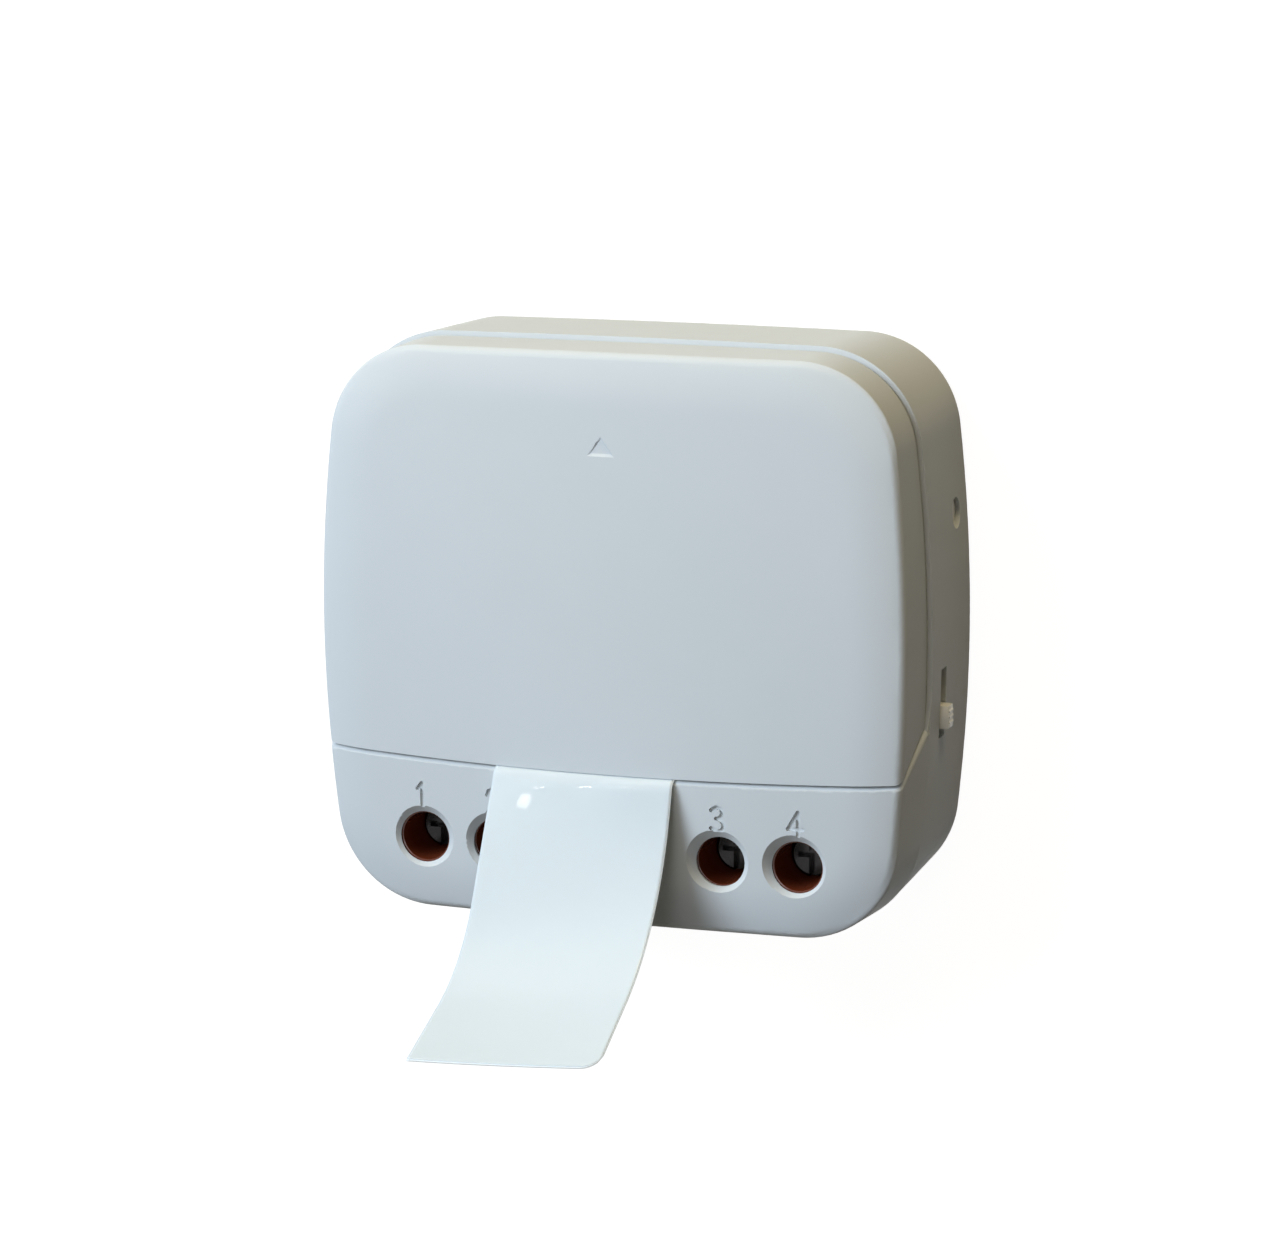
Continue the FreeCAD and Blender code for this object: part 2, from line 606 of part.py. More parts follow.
def housing_hollows():
    """Board space, battery pocket, terminal pocket, guide grooves and contact slots."""
    board_space = outline_block(size.rim_level, size.deck_level, size.wall, size.wall)
    plate_space = outline_block(-1, size.rim_level, size.rim_wall, size.rim_wall)
    cell_pocket = post_at(0, size.cell_raise, size.deck_top, size.crown_top,
                          size.cell_radius + size.cell_gap)
    cell_pocket = cell_pocket.cut(block((-size.width, size.width), (-size.height, size.bay_low),
                                        (0, size.depth + 5)))
    terminal_pocket = outline_block(size.deck_level, size.block_top + size.block_gap,
                                    size.wall, size.wall)
    terminal_pocket = terminal_pocket.common(
        block((-size.width, size.width), (-size.height, size.pocket_high), (0, size.depth)))
    hollows = [board_space, plate_space, cell_pocket, terminal_pocket]
    hollows.append(above_bay())
    hollows.extend(block_pocket(side) for side in (-1, 1))
    for side in (-1, 1):
        inner = side * (size.bay_half - size.rail_depth)
        outer = side * (size.bay_half + 1)
        hollows.append(block(sorted((inner, outer)), (size.bay_low, size.height),
                             (size.rail_level, size.rail_level + size.rail_height)))
    leaf_half = size.leaf_width / 2 + size.contact_gap
    hollows.append(block((-size.leg_outside - size.leg_gap, -size.cell_radius + size.wall / 2),
                         (size.cell_raise - leaf_half, size.cell_raise + leaf_half),
                         (size.deck_level - 1, size.cell_top + 1)))
    leg_half = size.leg_width / 2 + size.leg_gap
    leg_middle = size.cell_raise + size.contact_high - size.leaf / 2
    hollows.append(block((-leg_half, leg_half),
                         (leg_middle - size.leg_slot / 2, leg_middle + size.leg_slot / 2),
                         (size.deck_level - 1, size.deck_top + 1)))
    return hollows


def block_pocket(side):
    """Room for one terminal block and its pins."""
    ends = sorted(side * (size.block_middle + sign * (size.block_half + size.block_gap))
                  for sign in (-1, 1))
    return block(ends, (size.block_front - size.block_gap, size.pocket_high),
                 (size.board_top, size.block_top + size.block_gap))


def above_bay():
    """Room under the cover's inner lip, so that the strip's overhang ends at the bay."""
    return block((-size.bay_half, size.bay_half), (size.bay_low, size.bay_low + size.lip_reach),
                 (size.cell_top, size.cell_top + size.lip_room))


def housing_openings():
    """Access holes, collar seats, wire entries, switch slot, button hole, catches and numerals."""
    tools = []
    for text, x in zip("1234", TERMINAL_X):
        y = -size.terminal_drop
        surface = crown_level(x, y)
        tools.append(post_at(x, y, size.block_top, size.crown_top + 1, size.access_hole / 2))
        tools.append(post_at(x, y, size.block_top, size.collar_top + size.collar_gap,
                             size.collar / 2 + size.collar_gap))
        spare = 0.5
        flare_rate = (size.countersink - size.access_hole) / 2 / size.flare
        tools.append(Part.makeCone(size.access_hole / 2,
                                   size.countersink / 2 + flare_rate * spare,
                                   size.flare + spare, Vector(x, y, surface - size.flare)))
        tools.append(Part.makeCylinder(size.wire_hole / 2, size.wall * 2 + size.corner_room,
                                       Vector(x, size.block_front, size.wire_level),
                                       Vector(0, -1, 0)))
        tools.append(numeral(text, x, y + size.digit_raise))
    slot_middle = size.switch_level
    tools.append(block((size.inner_half - size.wall, size.width / 2 + 1),
                       (-size.slot_low, size.slot_length - size.slot_low),
                       (slot_middle - size.slot_height / 2, slot_middle + size.slot_height / 2)))
    tools.append(Part.makeCylinder(size.button_hole / 2, size.wall * 3,
                                   Vector(size.inner_half - size.wall, size.button_raise,
                                          size.button_level),
                                   Vector(1, 0, 0)))
    half = size.hook_width / 2 + size.hook_gap
    for side, y in HOOK_PLACES:
        wall_x = size.inner_half - y ** 2 / (2 * size.side_arc)
        tools.append(block(sorted((side * (wall_x - size.hook_arm),
                                   side * (wall_x + size.hook_bite + size.hook_gap))),
                           (y - half, y + half),
                           (size.hook_top - size.hook_nub - size.hook_gap,
                            size.hook_top + size.hook_gap)))
    return tools


housing = shaped("housing", housing_shape())


# Battery cover: domed shell with sloping lower edge, two guide ribs and the arrow mark
def cover_shape():
    shell = domed_block(size.ledge).common(beyond_seam(size.seam_gap / 2))
    hollow = outline_block(size.parting_level - 1, size.crown_top, size.ledge + size.cover_wall,
                           size.front_inset + size.cover_wall)
    hollow = hollow.common(crown_ball(size.cover_wall))
    shell = shell.cut(hollow)
    below = block((-size.width, size.width), (-size.height, size.height),
                  (0, size.parting_level + size.parting_gap))
    shell = shell.cut([below, arrow_mark()])
    return shell.fuse([cover_rib(side) for side in (-1, 1)]).removeSplitter()


def cover_rib(side):
    """Guide rib that runs in the bay block's groove."""
    inner = size.bay_half - size.rail_depth + size.rail_gap
    rib = block(sorted((side * inner, side * size.width / 2)),
                (seam_at(size.rail_level, size.seam_gap / 2) + size.rib_start,
                 size.bay_high - size.rib_end),
                (size.rail_level + size.rail_gap,
                 size.rail_level + size.rail_height - size.rail_gap))
    middle_inset = size.ledge + size.cover_wall / 2
    return rib.common(outline_block(size.parting_level, size.depth, middle_inset, middle_inset))


battery_cover = shaped("battery_cover", cover_shape())


# Back plate with its board posts and snap hooks
def back_plate_shape():
    inset = size.rim_wall + size.plate_gap
    plate = outline_block(0, size.plate, inset, inset)
    pieces = [post_at(x, y, 0, size.board_level, size.post / 2) for x, y in POST_PLACES]
    half = size.hook_width / 2
    for side, y in HOOK_PLACES:
        wall_x = size.inner_half - y ** 2 / (2 * size.side_arc)
        outside = wall_x - size.hook_gap
        arm = block(sorted((side * (outside - size.hook_arm), side * outside)),
                    (y - half, y + half), (0, size.hook_top))
        nub = block(sorted((side * (outside - size.hook_arm / 2), side * (wall_x + size.hook_bite))),
                    (y - half, y + half), (size.hook_top - size.hook_nub, size.hook_top))
        pieces.extend([arm, nub])
    return plate.fuse(pieces).removeSplitter()


back_plate = shaped("back_plate", back_plate_shape())


# Circuit board with pin holes
def board_shape():
    inset = size.wall + size.board_gap
    board = outline_block(size.board_level, size.board_top, inset, inset)
    half = size.pin_hole / 2
    low = size.bar_end - size.bar_sheet - size.board_gap
    holes = [block((x - half, x + half), (low, size.bar_end + size.board_gap / 2),
                   (size.board_level - 1, size.board_top + 1)) for x in TERMINAL_X]
    return board.cut(holes)


circuit_board = shaped("circuit_board", board_shape())

# Coin cell: can, sealing ring and cap, crimped together
CAN = [("cell_diameter / 2 - 2", "0.3"), ("cell_diameter / 2 - 0.5", "0.3"),
       ("cell_diameter / 2", "0.8"), ("cell_diameter / 2", "cell_thickness - 0.4"),
       ("cell_diameter / 2 - 0.4", "cell_thickness"), ("0", "cell_thickness"),
       ("0", "0.7"), ("cell_diameter / 2 - 1.4", "0.7"), ("cell_diameter / 2 - 1.4", "0.55"),
       ("cell_diameter / 2 - 2", "0.55")]
SEAL = [("cell_diameter / 2 - 2.3", "0.15"), ("cell_diameter / 2 - 2", "0.15"),
        ("cell_diameter / 2 - 2", "0.55"), ("cell_diameter / 2 - 2.3", "0.55")]
CAP = [("0", "0"), ("cell_diameter / 2 - 2.6", "0"), ("cell_diameter / 2 - 2.3", "0.3"),
       ("cell_diameter / 2 - 2.3", "0.7"), ("0", "0.7")]
CELL_PLACE = ("0", "cell_raise", "cell_bottom")
cell_can = turned("cell_can", CAN, CELL_PLACE)
cell_seal = turned("cell_seal", SEAL, CELL_PLACE)
cell_cap = turned("cell_cap", CAP, CELL_PLACE)

# Sprung contacts of the battery bay
negative_contact = join("negative_contact", [
    box("negative_plate", ("-contact_width / 2", "contact_width / 2"),
        ("cell_raise - contact_low", "cell_raise + contact_high"), ("deck_top", "deck_top + leaf")),
    rod("negative_dimple", "z", ("0", "cell_raise", "deck_top"), "dimple / 2", "contact_space"),
    box("negative_leg", ("-leg_width / 2", "leg_width / 2"),
        ("cell_raise + contact_high - leaf", "cell_raise + contact_high"),
        ("board_top", "deck_top + leaf")),
])
positive_contact = join("positive_contact", [
    box("positive_leaf", ("-leg_outside", "-leaf_width / 4"),
        ("cell_raise - leaf_width / 2", "cell_raise + leaf_width / 2"),
        ("leaf_level", "leaf_level + leaf")),
    box("positive_leg", ("-leg_outside", "-leg_outside + leaf"),
        ("cell_raise - leaf_width / 2", "cell_raise + leaf_width / 2"),
        ("board_top", "leaf_level + leaf")),
])


# Pull tab film: flat on the cell, up through the seam, then hanging and curling outward
RISE_ANGLE = 90 - math.degrees(math.atan(size.seam_slope))
FILM_LEVEL = size.cell_top + size.film / 2


def film_start():
    """Where the hidden end lies, so that the bend brings the film into the seam's plane."""
    corner_to_bend = size.film_bend * math.tan(math.radians(RISE_ANGLE / 2))
    return seam_at(FILM_LEVEL) + corner_to_bend + size.film_tuck


def film_path(hang_angle, first_run, curl_radius, last_angle, last_run):
    """Film route in the YZ plane as runs of (length, turn in degrees, radius)."""
    fold_level = crown_level(0, size.seam_drop) + size.film_clear
    bend_end = FILM_LEVEL + size.film_bend * (1 - math.cos(math.radians(RISE_ANGLE)))
    in_seam = (fold_level - bend_end) / math.sin(math.radians(RISE_ANGLE))
    return [(size.film_tuck, 0, 0), (0, -RISE_ANGLE, size.film_bend), (in_seam, 0, 0),
            (0, RISE_ANGLE - hang_angle, size.film_fold), (first_run, 0, 0),
            (0, hang_angle - last_angle, curl_radius), (last_run, 0, 0)]


def film_rails(x, path):
    """Upper and lower edges of the film's thickness at one side, and the route's end."""
    place = Vector(x, film_start(), FILM_LEVEL)
    heading = math.pi
    rails = {1: [], -1: []}
    for length, turn, radius in path:
        across = Vector(0, -math.sin(heading), math.cos(heading))
        if turn == 0:
            finish = place + Vector(0, math.cos(heading), math.sin(heading)) * length
            for side, edges in rails.items():
                shift = across * (side * size.film / 2)
                edges.append(Part.LineSegment(place + shift, finish + shift).toShape())
            place = finish
            continue
        sign = math.copysign(1, turn)
        centre = place + across * (sign * radius)

        def on_bend(share, offset):
            angle = heading + math.radians(turn) * share
            reach = sign * radius - offset
            return centre + Vector(0, math.sin(angle), -math.cos(angle)) * reach

        for side, edges in rails.items():
            bend = [on_bend(share, side * size.film / 2) for share in (0, 0.5, 1)]
            edges.append(Part.Arc(*bend).toShape())
        place = on_bend(1, 0)
        heading += math.radians(turn)
    return rails, place, heading


def film_edge(x, path):
    """Closed outline of the film's thickness at one side."""
    rails, place, heading = film_rails(x, path)
    upper_end = rails[1][-1].Vertexes[-1].Point
    lower_end = rails[-1][-1].Vertexes[-1].Point
    tip = Part.LineSegment(upper_end, lower_end).toShape()
    tail = Part.LineSegment(rails[-1][0].Vertexes[0].Point, rails[1][0].Vertexes[0].Point).toShape()
    return Part.Wire(rails[1] + [tip] + rails[-1][::-1] + [tail])


def rounded_corner(x, path):
    """Cutting tool that rounds the film's corner at the tip of one side."""
    rails, place, heading = film_rails(x, path)
    reach = size.tip_round
    tool = block((-reach, reach), (-reach, reach), (-reach, reach))
    tool = tool.cut(post_at(-reach, -reach, -reach, reach, reach))
    along = Vector(0, math.cos(heading), math.sin(heading))
    normal = Vector(1, 0, 0).cross(along)
    tool.Placement = FreeCAD.Placement(place, FreeCAD.Rotation(Vector(1, 0, 0), along, normal))
    return tool


def film_shape():
    left_hang = film_path(size.left_hang, size.left_run, size.left_curl, size.left_end,
                          size.left_tip)
    right_hang = film_path(size.right_hang, size.right_run, size.right_curl, size.right_end,
                           size.right_tip)
    sides = [film_edge(size.film_left, left_hang), film_edge(size.film_right, right_hang)]
    return Part.makeLoft(sides, True, True).cut(rounded_corner(size.film_right, right_hang))


pull_tab = shaped("pull_tab", film_shape())


# Terminals: two double blocks, and in each of the four places a screw, a clamp cage and a bar
def terminal_block(name, side):
    """Orange-brown block for two wires."""
    middle = f"{side} * block_middle"
    body = box(name + "_body", (f"{middle} - block_half", f"{middle} + block_half"),
               ("block_front", "block_back"), ("board_top", "block_top"))
    collars = []
    tools = []
    for number, offset in enumerate(("-pitch / 2", "pitch / 2")):
        x = f"{middle} + {offset}"
        tag = f"{name}_{number}"
        collars.append(rod(tag + "_collar", "z", (x, "-terminal_drop", "block_top"),
                           "collar / 2", "collar_top - block_top"))
        tools.append(rod(tag + "_well", "z", (x, "-terminal_drop", "head_level"),
                         "well / 2", "collar_top - head_level + 1"))
        tools.append(rod(tag + "_neck", "z", (x, "-terminal_drop", "chamber_top - 1"),
                         "thread / 2 + neck_gap", "seat + 2"))
        tools.append(box(tag + "_chamber", (f"{x} - chamber_half", f"{x} + chamber_half"),
                         ("-terminal_drop - cage_length / 2 - cage_gap",
                          "-terminal_drop + cage_length / 2 + cage_gap"),
                         ("board_top - 1", "chamber_top")))
        tools.append(rod(tag + "_wire_mouth", "y", (x, "block_front - 1", "wire_level"),
                         "wire_hole / 2", "2"))
        tools.append(box(tag + "_bar_slot", (f"{x} - bar_width / 2", f"{x} + bar_width / 2"),
                         ("-terminal_drop", "bar_end"),
                         ("board_top - 1", "bar_top")))
    solid = join(name + "_solid", [body] + collars)
    return cut(name, solid, tools)


def contact_bar(name, x):
    """Bent bar that the wire is pressed against, with its pin through the board."""
    return join(name, [
        box(name + "_flat", (f"{x} - bar_width / 2", f"{x} + bar_width / 2"),
            ("-terminal_drop - cage_length / 2", "bar_end"), ("bar_top - bar_sheet", "bar_top")),
        box(name + "_pin", (f"{x} - pin_width / 2", f"{x} + pin_width / 2"),
            ("bar_end - bar_sheet", "bar_end"), ("board_level - pin_reach", "bar_top")),
    ])


def clamp_cage(name, x):
    """Steel frame that the screw lifts to press the wire against the bar."""
    body = doc.addObject("PartDesign::Body", name)
    frame = sketch_outline(body, name + "_frame", "XZ_Plane",
                           rectangle("-cage_width / 2", "cage_width / 2", "0", "cage_height"))
    pad = body.newObject("PartDesign::Pad", name + "_pad")
    pad.Profile = frame
    pad.Midplane = True
    pad.setExpression("Length", linked("cage_length"))
    window = rectangle("-cage_width / 2 + cage_sheet", "cage_width / 2 - cage_sheet",
                       "cage_plate", "cage_height - cage_plate")
    pocketed(body, name + "_window", "XZ_Plane", window, "cage_length + 2")
    hole = body.newObject("Sketcher::SketchObject", name + "_hole_outline")
    support = next(item for item in body.Origin.OriginFeatures if item.Role == "XY_Plane")
    hole.AttachmentSupport = [(support, "")]
    hole.MapMode = "FlatFace"
    hole.addGeometry(Part.Circle(Vector(), Vector(0, 0, 1), 1))
    hole.addConstraint(Sketcher.Constraint("Coincident", 0, 3, -1, 1))
    index = hole.addConstraint(Sketcher.Constraint("Radius", 0, 1.0))
    hole.setExpression(f"Constraints[{index}]", linked("thread / 2 + thread_gap"))
    hole.AttachmentOffset = FreeCAD.Placement(Vector(), FreeCAD.Rotation())
    hole.setExpression("AttachmentOffset.Base.z", linked("cage_height / 2"))
    bore = body.newObject("PartDesign::Pocket", name + "_bore")
    bore.Profile = hole
    bore.Reversed = True
    bore.setExpression("Length", linked("cage_height"))
    place_body(body, x, "-terminal_drop", "cage_bottom")
    return body


def terminal_screw(name, x):
    """Screw with a cross-slotted head."""
    end = "bar_top + neck_gap - head_level"
    profile = [("0", end), ("thread / 2", end), ("thread / 2", "0"), ("well / 2 - head_gap", "0"),
               ("well / 2 - head_gap", "head_height - head_edge"),
               ("well / 2 - head_gap - head_edge", "head_height"), ("0", "head_height")]
    body = turned(name, profile, (x, "-terminal_drop", "head_level"))
    for tag, plane, half in (("slot", "XZ_Plane", "slot_half"), ("cross", "YZ_Plane", "cross_half")):
        opening = rectangle(f"-{half}", half, "head_height / 2", "head_height + 1")
        reach = "thread * 2" if tag == "slot" else "thread * 0.8"
        pocketed(body, f"{name}_{tag}", plane, opening, reach)
    return body


for side_name, side_sign in (("left", "-1"), ("right", "1")):
    terminal_block(f"terminal_block_{side_name}", side_sign)
TERMINAL_RULES = ["-outer_terminal", "-inner_terminal", "inner_terminal", "outer_terminal"]
for number, x_rule in enumerate(TERMINAL_RULES, start=1):
    terminal_screw(f"terminal_screw_{number}", x_rule)
    clamp_cage(f"clamp_cage_{number}", x_rule)
    contact_bar(f"contact_bar_{number}", x_rule)

# Mode switch on the board's upper side: body, sheet cover and the knob in the wall's slot
SWITCH_LOW = "slot_length / 2 - slot_low - switch_length / 2"
SWITCH_HIGH = "slot_length / 2 - slot_low + switch_length / 2"
switch_space = box("mode_switch_space", ("switch_outer - switch_mouth", "switch_outer + 1"),
                   ("-slot_low + switch_gap / 2", "slot_length - slot_low - switch_gap / 2"),
                   ("switch_level - stem_height / 2 - switch_gap / 2", "switch_level + 1"))
mode_switch_body = cut("mode_switch_body",
                       box("mode_switch_block", ("switch_outer - switch_width", "switch_outer"),
                           (SWITCH_LOW, SWITCH_HIGH),
                           ("board_top", "board_top + switch_height - switch_sheet")),
                       [switch_space])
mode_switch_shell = box("mode_switch_shell", ("switch_outer - switch_width", "switch_outer"),
                        (SWITCH_LOW, SWITCH_HIGH),
                        ("board_top + switch_height - switch_sheet",
                         "board_top + switch_height"))
KNOB_FACE = "width / 2 - back_inset * (parting_level - switch_level) / parting_level" \
            " - knob_drop ^ 2 / (2 * side_arc) + knob_stand"
mode_switch_knob = join("mode_switch_knob", [
    box("knob_head", ("inner_half + switch_gap / 2", KNOB_FACE),
        ("-knob_drop - knob_length / 2", "-knob_drop + knob_length / 2"),
        ("switch_level - knob_height / 2", "switch_level + knob_height / 2")),
    box("knob_stem", ("switch_outer - stem_hold", "inner_half + switch_gap"),
        ("-knob_drop - stem_width / 2", "-knob_drop + stem_width / 2"),
        ("switch_level - stem_height / 2", "switch_level + stem_height / 2")),
])

# Pairing button in the wall and the push switch that it works, under the board
BUTTON_FACE = "width / 2 - back_inset * (parting_level - button_level) / parting_level" \
              " - button_raise ^ 2 / (2 * side_arc) - button_recess"
pair_button = join("pair_button", [
    rod("button_flange", "x", ("button_inner - flange_thickness", "button_raise", "button_level"),
        "flange / 2", "flange_thickness"),
    rod("button_stem", "x", ("button_inner - flange_thickness", "button_raise", "button_level"),
        "button_hole / 2 - button_gap", f"{BUTTON_FACE} - button_inner + flange_thickness"),
])
pair_switch_body = cut("pair_switch_body",
                       box("pair_switch_block", ("tact_outer - tact_length", "tact_outer"),
                           ("button_raise - tact_width / 2", "button_raise + tact_width / 2"),
                           ("board_level - tact_height", "board_level")),
                       [rod("pair_switch_bore", "x", ("tact_outer - plunger_room", "button_raise",
                                                      "button_level"),
                            "plunger / 2 + plunger_gap", "plunger_room + 1")])
pair_switch_plunger = rod("pair_switch_plunger", "x",
                          ("tact_outer - plunger_hold", "button_raise", "button_level"),
                          "plunger / 2", "plunger_reach + plunger_hold")

# Electronics under the board
SHIELD_X = ("-shield_left", "shield_width - shield_left")
SHIELD_Y = ("-shield_drop", "shield_length - shield_drop")
radio_shield = cut("radio_shield",
                   box("shield_outside", SHIELD_X, SHIELD_Y,
                       ("board_level - shield_height", "board_level")),
                   [box("shield_inside",
                        (SHIELD_X[0] + " + shield_sheet", SHIELD_X[1] + " - shield_sheet"),
                        (SHIELD_Y[0] + " + shield_sheet", SHIELD_Y[1] + " - shield_sheet"),
                        ("board_level - shield_height + shield_sheet", "board_level + 1"))])
radio_chip = box("radio_chip", ("-chip_left", "chip_side - chip_left"), ("0", "chip_side"),
                 ("board_level - chip_height", "board_level"))
crystal = box("crystal", ("crystal_place", "crystal_place + crystal_width"),
              ("crystal_raise", "crystal_raise + crystal_length"),
              ("board_level - crystal_height", "board_level"))
chip_antenna = box("chip_antenna", ("-antenna_width / 2", "antenna_width / 2"),
                   ("height / 2 - antenna_inset", "height / 2 - antenna_inset + antenna_length"),
                   ("board_level - antenna_height", "board_level"))
status_led = box("status_led", ("inner_half - led_inset", "inner_half - led_inset + led_width"),
                 ("led_raise", "led_raise + led_length"), ("board_level - led_length", "board_level"))
capacitors = group("capacitors", [
    box(f"capacitor_{number}",
        (f"{step} * capacitor_step - capacitor_width / 2",
         f"{step} * capacitor_step + capacitor_width / 2"),
        ("-capacitor_drop", "-capacitor_drop + capacitor_length"),
        ("board_level - capacitor_height", "board_level"))
    for number, step in enumerate((-2, -1, 1, 2))])
resistors = group("resistors", [
    box(f"resistor_{number}", (f"{x} - resistor_width / 2", f"{x} + resistor_width / 2"),
        ("block_back + resistor_place", "block_back + resistor_place + resistor_length"),
        ("board_level - resistor_height", "board_level"))
    for number, x in enumerate(TERMINAL_RULES)])

# Nodes that are written out, each by its label
NODES = ["housing", "battery_cover", "back_plate", "circuit_board", "cell_can", "cell_seal",
         "cell_cap", "negative_contact", "positive_contact", "pull_tab", "terminal_block_left",
         "terminal_block_right", "mode_switch_body", "mode_switch_shell", "mode_switch_knob",
         "pair_button", "pair_switch_body", "pair_switch_plunger", "radio_shield", "radio_chip",
         "crystal", "chip_antenna", "status_led", "capacitors", "resistors"]
NODES += [f"{kind}_{number}" for kind in ("terminal_screw", "clamp_cage", "contact_bar")
          for number in range(1, 5)]

doc.recompute()
for item in doc.Objects:
    if "Invalid" in item.State or "Error" in item.State:
        raise RuntimeError(f"{item.Label} failed: {item.State}")

os.makedirs("parts", exist_ok=True)
for node in NODES:
    shape = doc.getObject(node).Shape
    if shape.isNull() or not shape.isValid() or not shape.Solids:
        raise RuntimeError(f"{node} has no valid solid")
    shape.exportStep(os.path.join("parts", node + ".step"))
    corners = shape.BoundBox
    print(f"{node:22s} solids {len(shape.Solids):2d} volume {shape.Volume:9.2f}"
          f" x {corners.XMin:7.2f} {corners.XMax:7.2f} y {corners.YMin:7.2f} {corners.YMax:7.2f}"
          f" z {corners.ZMin:7.2f} {corners.ZMax:7.2f}")
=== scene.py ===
# Dresses the switch-input remote module for the photograph's view: a white satin case, a milky pull
# tab, orange terminals behind their access holes, and the parts under the cover.
# Metres, in the frame of the CAD model: X right and Y up as the front is read, Z out of the front.
# The named sizes of the pieces are in millimetres; those of camera, lamps and floor are in metres.
import json
import math

import bmesh
import bpy
from mathutils import Matrix, Vector

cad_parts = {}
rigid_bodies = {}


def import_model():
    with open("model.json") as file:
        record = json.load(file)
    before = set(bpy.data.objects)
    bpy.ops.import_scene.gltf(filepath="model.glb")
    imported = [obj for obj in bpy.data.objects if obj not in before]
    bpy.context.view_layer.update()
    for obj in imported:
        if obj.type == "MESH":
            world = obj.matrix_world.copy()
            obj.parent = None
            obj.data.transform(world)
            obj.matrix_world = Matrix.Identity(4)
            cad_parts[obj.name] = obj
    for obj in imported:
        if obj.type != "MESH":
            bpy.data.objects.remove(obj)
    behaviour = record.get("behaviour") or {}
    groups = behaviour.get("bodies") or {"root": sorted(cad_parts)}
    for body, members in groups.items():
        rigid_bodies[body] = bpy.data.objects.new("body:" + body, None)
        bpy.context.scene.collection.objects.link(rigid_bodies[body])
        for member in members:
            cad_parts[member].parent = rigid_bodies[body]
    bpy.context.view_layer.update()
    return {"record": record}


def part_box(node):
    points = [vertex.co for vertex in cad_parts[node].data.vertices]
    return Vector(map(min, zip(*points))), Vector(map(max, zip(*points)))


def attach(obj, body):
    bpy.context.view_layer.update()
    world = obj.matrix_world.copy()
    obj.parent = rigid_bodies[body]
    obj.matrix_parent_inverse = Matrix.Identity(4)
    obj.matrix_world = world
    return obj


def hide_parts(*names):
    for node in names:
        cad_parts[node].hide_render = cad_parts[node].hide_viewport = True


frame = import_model()

MM = 0.001


# Camera at the photograph's viewing angle, its angles in radians and its lens in millimetres
CAMERA_AIM_LEVEL = 15.5 * MM
CAMERA_YAW = 0.34839
CAMERA_PITCH = 0.20449
CAMERA_ROLL = -0.00848
CAMERA_DISTANCE = 0.27549
CAMERA_ASIDE = 0.002195
CAMERA_RAISED = 0.0012245
CAMERA_LENS = 124.24
CAMERA_NEAR = 0.01


def place_camera():
    """Camera to the upper right of the front, turned level with the module's upper edge."""
    back = Vector((math.sin(CAMERA_YAW) * math.cos(CAMERA_PITCH), math.sin(CAMERA_PITCH),
                   math.cos(CAMERA_YAW) * math.cos(CAMERA_PITCH)))
    level = (-back).cross(Vector((0, 1, 0))).normalized()
    upward = level.cross(-back)
    right = level * math.cos(CAMERA_ROLL) + upward * math.sin(CAMERA_ROLL)
    above = upward * math.cos(CAMERA_ROLL) - level * math.sin(CAMERA_ROLL)
    place = Vector((0, 0, CAMERA_AIM_LEVEL)) + back * CAMERA_DISTANCE
    place += right * CAMERA_ASIDE + above * CAMERA_RAISED
    camera = bpy.data.objects.new("camera", bpy.data.cameras.new("camera"))
    camera.data.lens = CAMERA_LENS
    camera.data.sensor_fit = "HORIZONTAL"
    camera.data.clip_start = CAMERA_NEAR
    turn = Matrix((right, above, back)).transposed()
    camera.matrix_world = Matrix.Translation(place) @ turn.to_4x4()
    bpy.context.scene.collection.objects.link(camera)
    bpy.context.scene.camera = camera


# Studio: soft lamps, a pale floor under the module's back and white surroundings
AMBIENT_COLOUR = (1, 0.848, 0.606)
AMBIENT_LEVEL = 0.0726
FLOOR_COLOUR = (0.18, 0.17, 0.155)
FLOOR_WHITE = 0.96
FLOOR_HALF = 0.6
FLOOR_GAP = 0.00005
LAMP_AIM = (0, 0, 0.008)
# Name, place, width, height, watts, colour, and whether gloss mirrors the lamp
LAMPS = (
    ("key", (-0.32, 0.28, 0.42), 0.34, 0.34, 4.06, (0.744, 0.86, 1), False),
    ("overhead", (0.07, 0.50, 0.07), 0.40, 0.24, 1.72, (1, 0.82, 0.49), True),
    ("glint", (-0.20, 0.31, 0.475), 0.03, 0.03, 0.07, (1, 0.97, 0.92), True),
    ("low fill", (0, -0.50, -0.02), 0.40, 0.20, 0.10, (1, 0.93, 0.82), True),
    ("front", (0.03, 0.02, 0.60), 0.20, 0.20, 0.392, (0.92, 0.94, 1), True),
)


def soft_lamp(name, place, width, height, power, colour, mirrored):
    """Rectangular lamp turned towards the module."""
    lamp = bpy.data.lights.new(name, "AREA")
    lamp.shape = "RECTANGLE"
    lamp.size = width
    lamp.size_y = height
    lamp.energy = power
    lamp.color = colour
    holder = bpy.data.objects.new(name, lamp)
    holder.location = place
    holder.visible_glossy = mirrored
    towards = Vector(LAMP_AIM) - Vector(place)
    holder.rotation_euler = towards.to_track_quat("-Z", "Y").to_euler()
    bpy.context.scene.collection.objects.link(holder)


def white_for_camera(tree):
    """1 where the camera looks, straight, in a reflection or through a clear part, else 0."""
    path = tree.nodes.new("ShaderNodeLightPath")
    seen = path.outputs["Is Camera Ray"]
    for way in ("Is Glossy Ray", "Is Transmission Ray"):
        either = tree.nodes.new("ShaderNodeMath")
        either.operation = "MAXIMUM"
        tree.links.new(seen, either.inputs[0])
        tree.links.new(path.outputs[way], either.inputs[1])
        seen = either.outputs[0]
    return seen


